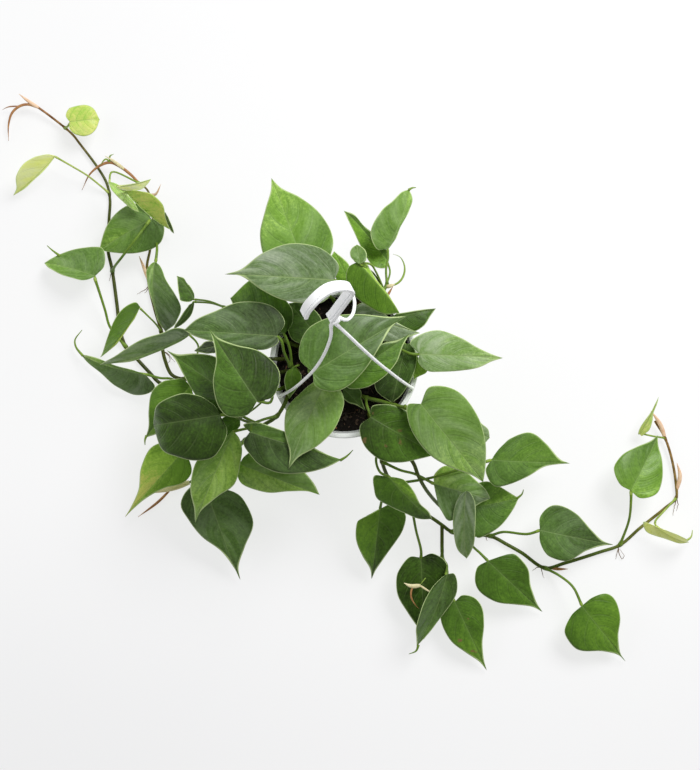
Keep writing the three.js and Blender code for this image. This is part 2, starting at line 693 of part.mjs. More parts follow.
        radius: 1.1,
      },
      { route: [[383, 292, 131], [386, 296, 130], [393, 286.5, 130]], radius: 1.6 },
    ],
  },
  right_edge_crown: {
    stem: [[383, 346, 86], [384, 345, 112], [388, 342, 122]],
    leaves: {
      d9: {
        petiole: [[384, 345, 112], [388, 330, 124], [392, 318, 130]],
        tip: [436, 308.5, 122],
        left: [-2.5, 12, 14.5, 18, 15, 6],
        right: [-2, 3.5, 3, 2.5, 2, 1],
      },
      d10: {
        petiole: [[384, 345, 113], [365, 330, 122], [354, 314, 128]],
        tip: [420, 333, 131],
        left: [-4, 10.5, 13, 18, 17, 8],
        right: [1.5, 13.5, 12.5, 9, 4, 1],
      },
      e5: {
        petiole: [[384, 345, 112], [396, 338, 126], [406, 344, 131]],
        tip: [392, 403, 125],
        left: [-3.5, 9, 11, 18, 23, 19],
        right: [1, 11, 14, 14.5, 12, 7],
      },
      e9: {
        petiole: [[388, 342, 122], [398, 346, 128], [408, 351, 130], [417, 357, 129]],
        tip: [414, 379, 127],
        left: [-2.5, 1, 1.5, 1.5, 1.5, 1],
        right: [-2, 6.5, 8, 12, 11.5, 5],
      },
      e6: {
        petiole: [[388, 342, 122], [402, 350, 136], [412, 354, 142], [420, 354, 142]],
        tip: [504, 358, 94],
        left: [2, 17, 17, 15.5, 12, 4],
        right: [11, 21.5, 24.5, 19, 10, 3],
      },
    },
  },
  front_right_vine: {
    stem: [
      [356, 391, 86], [357, 392, 108], [364, 397, 121], [380, 401, 131], [395, 405, 139],
      [405, 407, 146],
    ],
    leaves: {
      e7: {
        petiole: [[366, 398, 123], [367, 406, 138], [371, 417, 142]],
        tip: [436, 455, 124],
        left: [5, 26, 30.5, 32, 24.5, 10.5],
        right: [4.5, 18, 22, 23, 18, 10],
      },
      f1: {
        petiole: [[405, 407, 146], [414, 407, 153], [421, 404, 155]],
        tip: [484, 483, 102],
        left: [8.5, 21.5, 25, 25, 17, 5],
        right: [8.5, 33, 38, 36.5, 28, 13.5],
      },
      f2: {
        petiole: [[395, 405, 139], [430, 418, 122], [455, 424, 108]],
        tip: [490, 438, 92],
        left: [-4, 8, 11, 15.5, 16, 11],
        right: [-0.5, 13, 14, 14, 10.5, 8],
      },
    },
  },
  right_long_vine: {
    stem: [
      [368, 410, 86], [369, 415, 110], [373, 425, 125.5], [377, 434, 130], [379, 448, 121],
      [384, 468, 99], [392, 484, 74], [405, 500, 46], [420, 511, 20], [432, 518, 7],
      [442, 525, 3.6], [452, 532, 3.2], [470, 535, 3], [490, 536, 3], [508, 545, 3], [522, 553, 3],
      [545, 568, 3], [565, 563, 3], [600, 552, 3], [620, 545, 3], [640, 528, 3], [665, 508, 3],
      [676, 498, 3.5], [676, 485, 4], [672, 460, 5], [665, 438, 7], [655, 421, 9],
    ],
    branches: [
      [[442, 525, 3.6], [442, 545, 3], [442, 558, 3], [440, 570, 3]],
      [
        [378, 442, 125], [395, 448, 121], [412, 461, 108], [418, 475, 96], [425, 488, 78],
        [437, 503, 44], [452, 517, 16], [463, 534, 3],
      ],
    ],
    leaves: {
      g1: {
        petiole: [[452, 517, 16], [458, 505, 56], [466, 496, 88], [466, 491, 96]],
        tip: [466, 559.5, 52],
        left: [-3.5, 8, 10, 12, 11, 8],
        right: [0, 11.5, 13, 14, 13, 7],
        roll: 30, fold: 0.3,
      },
      g2: {
        petiole: [[379, 449, 120], [376, 460, 122], [380, 472, 120], [389, 477, 114]],
        tip: [432, 520, 76],
        left: [9.5, 21, 26, 21, 14.5, 9],
        right: [-3.5, 11, 11.5, 10, 6, 5],
        roll: 25,
      },
      g3: {
        petiole: [[392, 484, 74], [385, 492, 70], [382, 500, 66], [380, 509, 58]],
        tip: [371.5, 580, 12],
        left: [-7.5, 19, 22.5, 22, 13, 2.5],
        right: [7.5, 28, 27, 20, 10.5, 3],
      },
      g4: {
        petiole: [[412, 506, 34], [416, 530, 40], [421, 550, 38], [421, 558, 34]],
        tip: [424, 640, 8],
        left: [2, 22.5, 27, 27, 17, 6],
        right: [4.5, 27, 29, 25, 18, 9],
      },
      g5: {
        petiole: [[442, 558, 3], [447, 566, 32], [447, 574.5, 48]],
        tip: [417.5, 647, 26],
        left: [-3, 15, 18, 22, 21, 11],
        right: [2.5, 15, 17, 12.5, 7, 2.5],
        roll: -35, fold: 0.3,
        thread: [[418.5, 645, 25.8], [416, 651, 24], [409, 654, 22]],
      },
      g6: {
        petiole: [[440, 570, 3], [446, 588, 22], [455, 602, 28]],
        tip: [487, 671, 6],
        left: [8, 20, 23, 22, 13, 3],
        right: [3.5, 22, 24, 18, 8, 2],
      },
      h1: {
        petiole: [[470, 535, 3], [472, 545, 14], [480, 553, 28], [488, 561, 32]],
        tip: [543, 612.5, 8],
        left: [4, 27, 30, 27, 14.5, 3],
        right: [-5.5, 21, 25.5, 24, 11.5, 3],
      },
      h2: {
        petiole: [[490, 536, 3], [503, 532, 16], [528, 534, 32], [540, 530, 36]],
        tip: [614, 545, 14],
        left: [-2, 22, 26, 27, 12, 3],
        right: [3, 28.5, 30, 25, 12, 2],
      },
      h3: {
        petiole: [[545, 568, 3], [560, 576, 16], [573, 587, 26], [582, 606, 30]],
        tip: [626, 662, 6],
        left: [0, 31, 34, 33.5, 14, 2],
        right: [0.5, 30, 32, 25, 10.5, 1],
      },
      h4: {
        petiole: [[620, 545, 3], [629, 520, 22], [631, 500, 36], [631, 490.5, 38]],
        tip: [658, 435, 14],
        left: [2.5, 23, 26.5, 24.5, 16, 5],
        right: [0.5, 24, 28, 26, 16.5, 5],
      },
      h5: {
        petiole: [[677, 499, 3.5], [665, 510, 18], [655, 522, 26], [655, 526, 27]],
        tip: [689, 543, 10],
        left: [12, 12, 10, 7.5, 5.5, 4],
        right: [-4.5, 10, 13, 18, 17, 7.5],
        roll: 60, fold: 0.4,
        thread: [[685, 541.5, 15.6], [691, 537, 15], [692.5, 530, 14]],
      },
      h6: {
        petiole: [[665, 438, 7], [652, 436, 12], [640, 434, 14]],
        tip: [659, 397, 22],
        left: [-1, 2, 2.5, 2.5, 2, 1],
        right: [-2, 2, 2.5, 2.5, 2, 1],
        roll: 60, fold: 0.6,
      },
      f3: {
        petiole: [[392, 484, 74], [430, 478, 88], [470, 466, 86], [491.5, 460, 78]],
        tip: [571, 463.5, 28],
        left: [6.5, 27.5, 25, 16, 4.5, 1],
        right: [-6, 18.5, 24, 31, 20, 4],
      },
      f4: {
        petiole: [[380, 463, 108], [400, 470, 106], [415, 474, 98], [434, 484, 88]],
        tip: [491, 499, 54],
        left: [-6, 19, 24, 33, 18, 6],
        right: [3, 21, 22, 21, 15, 8.5],
      },
      f5: {
        petiole: [[452, 532, 3.2], [462, 520, 28], [470, 512, 42], [470, 508, 46]],
        tip: [519, 498, 32],
        left: [6.5, 32.5, 32, 28, 20.5, 10],
        right: [2, 21, 24, 24.5, 17, 7],
        thread: [[517, 498.5, 32.3], [522, 494, 33], [523.5, 489.5, 34]],
      },
    },
    shoots: [
      { route: [[440, 562, 3], [430, 573, 4], [419, 586, 4.5]], radius: 1.5 },
      {
        route: [[420, 585, 4.5], [414, 590, 5], [412, 598, 5.5], [417, 607, 5], [424, 612, 4]],
        radius: 1.5,
      },
      { route: [[420, 585, 4.5], [427, 590, 5], [434, 594, 5]], radius: 1.2 },
      { route: [[420, 586, 4.5], [412, 589, 6], [403, 585, 7]], radius: 2.2 },
      { route: [[442, 556, 3.4], [445, 566, 6], [449, 577, 6]], radius: 2.2 },
      { route: [[665, 438, 7], [660, 424, 11], [651, 411, 15]], radius: 2.4 },
      { route: [[677, 490, 4], [680, 476, 7], [677, 463, 8]], radius: 2.4 },
      { route: [[550, 567, 3.4], [558, 569, 5], [568, 569, 6]], radius: 1.7 },
    ],
  },
};

// The pot: one turned wall with a solid lip, drain holes and a slot for each strand
const lipBottom = POT_HEIGHT - LIP_HEIGHT;
const outerRadius = (z) => BASE_RADIUS + ((MOUTH_RADIUS + WALL - BASE_RADIUS) * z) / lipBottom;
const innerRadius = (z) => outerRadius(z) - WALL;

function turned(profile, sides) {
  const points = profile.map(([r, z]) => new THREE.Vector2(r, z));
  return new THREE.LatheGeometry(points, sides).rotateX(Math.PI / 2);
}

function onCircle(radius, degrees, z) {
  const angle = THREE.MathUtils.degToRad(degrees);
  return new THREE.Vector3(radius * Math.cos(angle), radius * Math.sin(angle), z);
}

function potSolid() {
  const profile = [
    [0, 0],
    [BASE_RADIUS - EDGE, 0],
    [outerRadius(EDGE), EDGE],
    [outerRadius(lipBottom), lipBottom],
    [RIM_RADIUS - EDGE, lipBottom],
    [RIM_RADIUS, lipBottom + EDGE],
    [RIM_RADIUS, POT_HEIGHT - 2 * EDGE],
    [RIM_RADIUS - 2 * EDGE, POT_HEIGHT],
    [MOUTH_RADIUS + EDGE, POT_HEIGHT],
    [MOUTH_RADIUS, POT_HEIGHT - EDGE],
    [innerRadius(lipBottom - EDGE), lipBottom - EDGE],
    [innerRadius(FLOOR_THICKNESS), FLOOR_THICKNESS],
    [0, FLOOR_THICKNESS],
  ];
  const cuts = [];
  for (let i = 0; i < DRAIN_COUNT; i++) {
    const centre = onCircle(DRAIN_CIRCLE, (360 * i) / DRAIN_COUNT, 0);
    const depth = 4 * FLOOR_THICKNESS;
    const drill = new THREE.CylinderGeometry(DRAIN_RADIUS, DRAIN_RADIUS, depth, DRAIN_SIDES);
    cuts.push(solidOf(drill.rotateX(Math.PI / 2).translate(centre.x, centre.y, 0)));
  }
  const half = SLOT.along / 2;
  const { reach } = SLOT;
  const slot = [[-half, -reach], [half, -reach], [half, reach], [-half, reach]];
  for (const degrees of Object.values(CLIP_ANGLES)) {
    cuts.push(clipBlock(SLOT.across, slot, degrees));
  }
  return solidOf(turned(profile, POT_SIDES)).subtract(joined(cuts));
}

// A flat piece standing at a clip's place: its outline runs along the rim and up from the rim's top
function clipBlock(across, outline, degrees) {
  const shape = new THREE.Shape(outline.map(([x, y]) => new THREE.Vector2(x, y)));
  const block = new THREE.ExtrudeGeometry(shape, { depth: across, bevelEnabled: false });
  block.translate(0, 0, -across / 2);
  block.rotateX(Math.PI / 2);
  block.rotateZ(THREE.MathUtils.degToRad(degrees + 90));
  const place = onCircle(CLIP_CIRCLE, degrees, POT_HEIGHT);
  return solidOf(block.translate(place.x, place.y, place.z));
}

// The soil: it fills the pot to under the lip, a little higher in the middle, with a plain hole
// round the foot of each stem
function soilSolid() {
  const edge = innerRadius(SOIL_EDGE_HEIGHT) - GAP;
  const profile = [
    [0, FLOOR_THICKNESS + GAP],
    [innerRadius(FLOOR_THICKNESS) - GAP, FLOOR_THICKNESS + GAP],
    [edge, SOIL_EDGE_HEIGHT],
    ...SOIL_RINGS.map((f) => [edge * f, SOIL_EDGE_HEIGHT + SOIL_MOUND * (1 - f * f)]),
    [0, SOIL_EDGE_HEIGHT + SOIL_MOUND],
  ];
  const geometry = turned(profile, SOIL_SIDES);
  const place = geometry.attributes.position;
  for (let i = 0; i < place.count; i++) {
    const [x, y, z] = [place.getX(i), place.getY(i), place.getZ(i)];
    const alongX = Math.sin(BROAD_WAVE.x * x + BROAD_WAVE.shiftX);
    const alongY = Math.sin(BROAD_WAVE.y * y + BROAD_WAVE.shiftY);
    const fine = FINE_WAVE.share * Math.sin(FINE_WAVE.x * x + FINE_WAVE.y * y);
    if (z > SOIL_EDGE_HEIGHT + WELD) place.setZ(i, z + SOIL_CLOD * (alongX * alongY + fine));
  }
  const holes = Object.values(VINES).flatMap((vine) => {
    const route = vine.stem.map(seen);
    const below = [-HOLE_DEPTH, HOLE_DEPTH].map((step) => route[0].clone().setZ(route[0].z + step));
    const radius = STEM_RADIUS + HOLE_CLEARANCE;
    return [stalk(route, radius, STEM_SIDES, stepsOf(route)), stalk(below, radius, STEM_SIDES, 1)];
  });
  return solidOf(geometry).subtract(joined(holes));
}

// The hanger: three slack strands clipped into the lip, a hub, and a swan-neck hook above it
const STRAND_ROUTES = {
  strand_left: [
    [331, 325, 343], [331, 335, 325], [327, 348, 290], [321, 360, 255], [313, 371, 222],
    [305, 379, 194], [297, 386, 168], [288, 392, 143],
  ],
  strand_right: [
    [336, 324, 343], [349, 335, 320], [360, 345, 290], [372, 354, 255], [380, 362, 230],
    [390, 370, 195], [400, 378, 160],
  ],
  strand_rear: [
    [336, 316, 344], [345, 319, 345], [352, 315, 339], [356, 306, 322], [354, 297, 295],
    [350, 291, 255], [345, 289, 210], [341, 290, 162],
  ],
};

function strandSolid(name) {
  const degrees = CLIP_ANGLES[name];
  const top = onCircle(CLIP_CIRCLE, degrees, POT_HEIGHT + TONGUE.rise);
  const route = [...STRAND_ROUTES[name].map(seen), top];
  const half = TONGUE.along / 2;
  const under = -LIP_HEIGHT - GAP;
  const outline = [
    [-half, under], [-BARB.along / 2, under], [-BARB.point / 2, under - BARB.drop],
    [BARB.point / 2, under - BARB.drop], [BARB.along / 2, under], [half, under],
    [half, TONGUE.top], [-half, TONGUE.top],
  ];
  const tongue = clipBlock(TONGUE.across, outline, degrees);
  const steps = Math.round(STRAND_STEPS_PER_POINT * route.length);
  return joined([stalk(route, STRAND_RADIUS, STRAND_SIDES, steps), tongue]);
}

// The hook in its own axes, from the middle of the hub
function hookSolid() {
  const shoulder = new THREE.Vector3(-HOOK_SHIFT - HOOK_RADIUS, HOOK_RISE, 0);
  const neck = new THREE.CubicBezierCurve3(
    new THREE.Vector3(0, 0, 0),
    new THREE.Vector3(NECK.x, NECK.y, 0),
    new THREE.Vector3(shoulder.x, HOOK_RISE * NECK.straight, 0),
    shoulder,
  );
  const route = neck.getPoints(NECK.steps).slice(0, -1);
  for (let i = 0; i <= BOW_STEPS; i++) {
    const angle = Math.PI * (1 - i / BOW_STEPS);
    const x = HOOK_RADIUS * Math.cos(angle) - HOOK_SHIFT;
    route.push(new THREE.Vector3(x, HOOK_RISE + HOOK_RADIUS * Math.sin(angle), 0));
  }
  const endX = HOOK_RADIUS - HOOK_SHIFT - HOOK_END.inward;
  route.push(new THREE.Vector3(endX, HOOK_RISE - HOOK_END.drop, 0));
  const { width, thickness, groove, depth, steps } = HOOK;
  const outline = [
    [-width, -thickness], [width, -thickness], [width, thickness], [groove, thickness],
    [groove, thickness - 2 * depth], [-groove, thickness - 2 * depth], [-groove, thickness],
    [-width, thickness],
  ];
  const section = new THREE.Shape(outline.map(([x, y]) => new THREE.Vector2(x / 2, y / 2)));
  const settings = { steps, bevelEnabled: false, extrudePath: smooth(route) };
  const strap = new THREE.ExtrudeGeometry(section, settings);
  strap.rotateX(Math.PI / 2 + THREE.MathUtils.degToRad(HOOK_LEAN));
  strap.rotateZ(THREE.MathUtils.degToRad(HOOK_TURN));
  const hub = new THREE.CylinderGeometry(HUB.top, HUB.bottom, HUB.height, HUB.sides);
  return solidOf(strap).add(solidOf(hub.rotateX(Math.PI / 2)));
}

// The place on a stem or branch that lies nearest to a point
function onStem(spines, point) {
  const best = { gap: Infinity };
  for (const spine of spines) {
    for (let i = 1; i < spine.length; i++) {
      const place = new THREE.Vector3();
      new THREE.Line3(spine[i - 1], spine[i]).closestPointToPoint(point, true, place);
      const gap = place.distanceTo(point);
      if (gap < best.gap) Object.assign(best, { gap, place });
    }
  }
  return best.place;
}

// A leafy stem: the stem with its branches, a petiole and a blade for each leaf, the thread that
// some blades end in, and the furled tips. A shoot starts on the stem or on a shoot before it.
function leafyStem(vine) {
  const routes = [vine.stem, ...(vine.branches ?? [])].map((route) => route.map(seen));
  const spines = routes.map((route) => smooth(route).getSpacedPoints(stepsOf(route)));
  const solids = routes.map((route) => stalk(route, STEM_RADIUS, STEM_SIDES, stepsOf(route)));
  for (const entry of Object.values(vine.leaves)) {
    const leaf = { ...FORM, ...entry };
    const petiole = leaf.petiole.map(seen);
    petiole[0] = onStem(spines, petiole[0]);
    const base = petiole.pop();
    const tip = seen(leaf.tip);
    petiole.push(...SEATS.map((v) => underMidrib(leaf, base, tip, v)));
    solids.push(stalk(petiole, PETIOLE_RADIUS, PETIOLE_SIDES, petiole.length));
    solids.push(blade(leaf, base, tip));
    if (leaf.thread) {
      const thread = leaf.thread.map(seen);
      solids.push(spindle(thread, THREAD_RADIUS, SHOOT_SIDES, thread.length));
    }
  }
  for (const shoot of vine.shoots ?? []) {
    const route = shoot.route.map(seen);
    route[0] = onStem(spines, route[0]);
    spines.push(smooth(route).getSpacedPoints(route.length));
    solids.push(spindle(route, shoot.radius, SHOOT_SIDES, route.length));
  }
  return joined(solids);
}

const WHITE = 0xf2f4f7;
const SOIL_BROWN = 0x2a1f18;
const LEAF_GREEN = 0x4d7a3a;
const POT_ROUGHNESS = 0.45;
const SOIL_ROUGHNESS = 0.95;
const HANGER_ROUGHNESS = 0.4;
const LEAF_ROUGHNESS = 0.45;

const group = new THREE.Group();
const hanger = new THREE.Group();
const plant = new THREE.Group();
group.add(hanger, plant);

function add(parent, name, solid, color, roughness) {
  const material = new THREE.MeshStandardMaterial({ color, roughness, metalness: 0 });
  const mesh = new THREE.Mesh(geometryOf(solid), material);
  mesh.name = name;
  parent.add(mesh);
  return mesh;
}

add(group, "pot", potSolid(), WHITE, POT_ROUGHNESS);
add(group, "soil", soilSolid(), SOIL_BROWN, SOIL_ROUGHNESS);
add(hanger, "hook", hookSolid(), WHITE, HANGER_ROUGHNESS).position.copy(seen(HUB_CENTRE));
for (const name of Object.keys(STRAND_ROUTES)) {
  add(hanger, name, strandSolid(name), WHITE, HANGER_ROUGHNESS);
}
for (const [name, vine] of Object.entries(VINES)) {
  add(plant, name, leafyStem(vine), LEAF_GREEN, LEAF_ROUGHNESS);
}

export default group;
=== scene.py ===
"""A heartleaf philodendron in a white plastic hanging pot that stands on a pale surface. Its long
stems trail out over the surface, and the pot's slack hanger stands over the leaves. Laid out as a
Blender add-on: sizes and colours are properties, and each group of pieces has an operator."""
import math
import random

import bpy
from mathutils import Matrix, Vector, noise


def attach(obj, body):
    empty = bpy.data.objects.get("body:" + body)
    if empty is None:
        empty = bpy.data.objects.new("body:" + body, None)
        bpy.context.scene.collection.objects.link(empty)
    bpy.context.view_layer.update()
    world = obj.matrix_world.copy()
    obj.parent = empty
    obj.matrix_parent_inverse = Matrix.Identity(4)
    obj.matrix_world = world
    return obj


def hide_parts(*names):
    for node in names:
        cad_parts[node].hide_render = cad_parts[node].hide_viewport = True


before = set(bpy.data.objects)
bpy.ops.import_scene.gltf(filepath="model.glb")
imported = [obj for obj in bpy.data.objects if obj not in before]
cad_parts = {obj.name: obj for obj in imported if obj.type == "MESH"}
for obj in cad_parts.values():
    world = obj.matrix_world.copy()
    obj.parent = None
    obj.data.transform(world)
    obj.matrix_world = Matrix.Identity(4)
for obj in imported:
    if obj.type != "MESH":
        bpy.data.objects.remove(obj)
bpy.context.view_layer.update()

bl_info = {
    "name": "Potted heartleaf philodendron",
    "version": (1, 0, 0),
    "blender": (4, 5, 0),
    "location": "View3D > Sidebar > Potted plant",
    "description": "Builds a trailing heartleaf plant in a hanging pot, with its soil and hanger",
    "category": "Object",
}

BODY = "root"
MM = 0.001

# The view: straight down from EYE, over a surface at height 0. Places on the plant are a column
# and a row of the 700 x 770 view with a height in millimetres over the surface.
COLUMNS = 700
ROWS = 770
EYE = Vector((0.00594, -0.02125, 1.6))
SURFACE_SCALE = 1.0886 * MM
SENSOR = 36.0

# The pot
POT_HEIGHT = 120 * MM
RIM_RADIUS = 75 * MM
MOUTH_RADIUS = 70 * MM
LIP_HEIGHT = 6 * MM
BASE_RADIUS = 53 * MM
WALL = 1.8 * MM
FLOOR_THICKNESS = 2.5 * MM
DRAIN_RADIUS = 3.5 * MM
DRAIN_CIRCLE = 36 * MM
DRAIN_COUNT = 6
GAP = 0.3 * MM
AXIS_RING = 4 * MM
FOOT = 2 * MM
EDGE_ROUND = 0.6 * MM
LIP_ROLL = 1.6 * MM
WALL_STEPS = 14
SLOT_REACH = 9 * MM
SOIL_EDGE_HEIGHT = 105 * MM
SOIL_MOUND = 4 * MM

# The soil: lumps as a place in the noise, how fine they are and their share of a clod's height
LUMPS = ((0.3, 60, 0.5), (0.7, 190, 0.4), (0.9, 420, 0.25))
CALM_EDGE = (0.93, 0.8)
SOIL_RINGS = 52

# The loose chips and fibres, which are spread over shares of the soil's radius. A chip's size is a
# share of the usual one, and its lean and thickness are shares of its size. A pair is a range.
CHIP_SEED = 5
CHIP_SPREAD = 0.96
CHIP_SIZES = (0.35, 1.15)
CHIP_LIFT = 0.10
CHIP_LEAN = 0.45
CHIP_THICKNESS = (0.16, 0.36)
CHIP_ROUTE = (0.0, 0.2, 0.75, 1.0)
CHIP_SWELL = (0.7, 1.2)
CHIP_END = 0.6
CHIP_FLATNESS = (0.35, 0.8)
FIBRES = 90
FIBRE_SPREAD = 0.94
FIBRE_LIMIT = 0.97
FIBRE_STEPS = 6
FIBRE_STRIDE_MM = 2.2
FIBRE_TURN = 0.5
FIBRE_LIFT = (0.2, 1.2)
FIBRE_RADIUS = 0.28 * MM
FIBRE_TONES = (0.5, 0.9)

# The hanger
CLIP_CIRCLE = 73.1 * MM
CLIP_ANGLES = {"strand_left": 206.6, "strand_right": 340.3, "strand_rear": 93.5}
SLOT = (2.0 * MM, 4.4 * MM)
TONGUE = (1.4 * MM, 3.4 * MM)
TONGUE_RISE = 4 * MM
TONGUE_TOP = 5 * MM
BARB_ALONG = 6.4 * MM
BARB_DROP = 4 * MM
BARB_POINT = 1 * MM
BARB_SLOPE = (0.4 * MM, 0.8 * MM)
STRAND_FOOT = (0.25, 0.94)
STRAND_HEAD = (0.2, 0.04)
HUB_CENTRE = (334, 318.5, 348)
HUB_HEIGHT = 8 * MM
HUB_SIDES = (5.2 * MM, 4.6 * MM)
HUB_ROUND = 0.8 * MM
HUB_SQUARENESS = 0.55
HOOK_ROUTE = [
    (329.5, 318.5, 349), (332.5, 315.5, 352), (337, 309.5, 357), (341.5, 303.5, 362.5),
    (345.5, 298, 368.5), (349.5, 293, 375.5), (350.8, 289, 383), (347.5, 286.8, 390),
    (342, 286.2, 395), (335, 286.8, 399), (327.5, 289.3, 401), (319.8, 294.6, 401),
    (312.6, 301.5, 398), (306.8, 308.5, 392.5), (304, 314.6, 386),
]
HOOK_TURN = 207.5
HOOK_LEAN = 25
HOOK_SECTION = (10.4 * MM, 3.4 * MM)
HOOK_GROOVES = (2.3 * MM, 3.2 * MM, 1.0 * MM)
HOOK_BEVEL = 0.5 * MM
GROOVE_SLOPE = 0.2 * MM
STRAND_ROUTES = {
    "strand_left": [
        (331, 325, 343), (331, 335, 325), (327, 348, 290), (321, 360, 255), (313, 371, 222),
        (305, 379, 194), (297, 386, 168), (288, 392, 143),
    ],
    "strand_right": [
        (336, 324, 343), (348.5, 335.5, 320), (360, 346.5, 290), (371.5, 357, 255),
        (380, 364.3, 230), (390.5, 372.5, 195), (401, 380.5, 160),
    ],
    "strand_rear": [
        (338, 317, 345), (346, 320, 345), (351.5, 316, 339), (354.5, 306, 322), (353.5, 297, 295),
        (350, 291, 255), (345, 289, 210), (341, 290, 162),
    ],
}

# How fine the meshes are: points round each kind of stalk, the distance between its rings, and the
# angle in degrees past which an edge looks sharp
SIDES = dict(drain=24, hub=32, strand=14, stem=12, petiole=9, thread=8, shoot=10, root=6, chip=6,
             fibre=5)
STRIDE = dict(strand=3 * MM, hook=1.5 * MM, stem=2.2 * MM, petiole=2.5 * MM, rib=3 * MM,
              thread=1.2 * MM, shoot=1.5 * MM, root=1.5 * MM)
CREASE = dict(pot=32, strand=40, hook=38)

# How a blade leaves the flat where its row doesn't say: fold lifts its sides into a V, droop lets
# them fall and bow bends it aside, as shares of its half width or length, curl bends its tip down
# and roll turns its face, in degrees. lean is painted light and shade, how much brighter its left
# half is painted; fade is painted light and shade too, how much brighter its tip is painted.
# worn is how spotted it is, and thread the route of a drawn-out tip.
LEAF_USUAL = dict(fold=0.12, droop=0.12, curl=0.02, bow=0.0, roll=0.0, worn=0.0, lean=0.0,
                  fade=0.0, thread=None)


def leaf(petiole, tip, left, right, tone, bloom, **form):
    """A leaf: its petiole's route to the blade's base, its tip and the outlines of its halves,
    left and right as seen from the tip. An outline is [lobe, shoulder, widths...] in millimetres:
    how far it reaches behind the petiole, then its distances from the midrib. tone goes from 0
    for an old dark leaf to 1 for a young yellow-green one, and past 1 where the blade gets a
    painted glow that stands for light coming through it. sheen is how much a painted sheen, a
    stand-in for reflected light, silvers its face, and it also sets the clear coat. form changes
    what is in LEAF_USUAL."""
    shape = dict(petiole=petiole, tip=tip, sides={1: left, -1: right}, tone=tone, bloom=bloom)
    shape["half"] = max(left[1:] + right[1:]) * MM
    shape["wide"] = max(left[1:]) + max(right[1:])
    return {**LEAF_USUAL, **shape, **form}


def shoot(route, radius, finish):
    """A sheath, a furled young leaf or a dry tip along a route, with its radius in millimetres."""
    return dict(route=route, radius=radius, finish=finish)


def vine(stem, leaves, branches=(), shoots=(), roots=(), age=(0.35, 0.6), dry=(0.0, 0.0, 0.5),
         slim=0.75):
    """One leafy stem with the routes of its stem, branches and aerial roots. age is how young its
    bark is at its start and end, dry how far it has turned tan at both and the share of the way
    where that begins, and slim how thick its end is beside its start."""
    return dict(stem=stem, leaves=leaves, branches=branches, shoots=shoots, roots=roots, age=age,
                dry=dry, slim=slim)


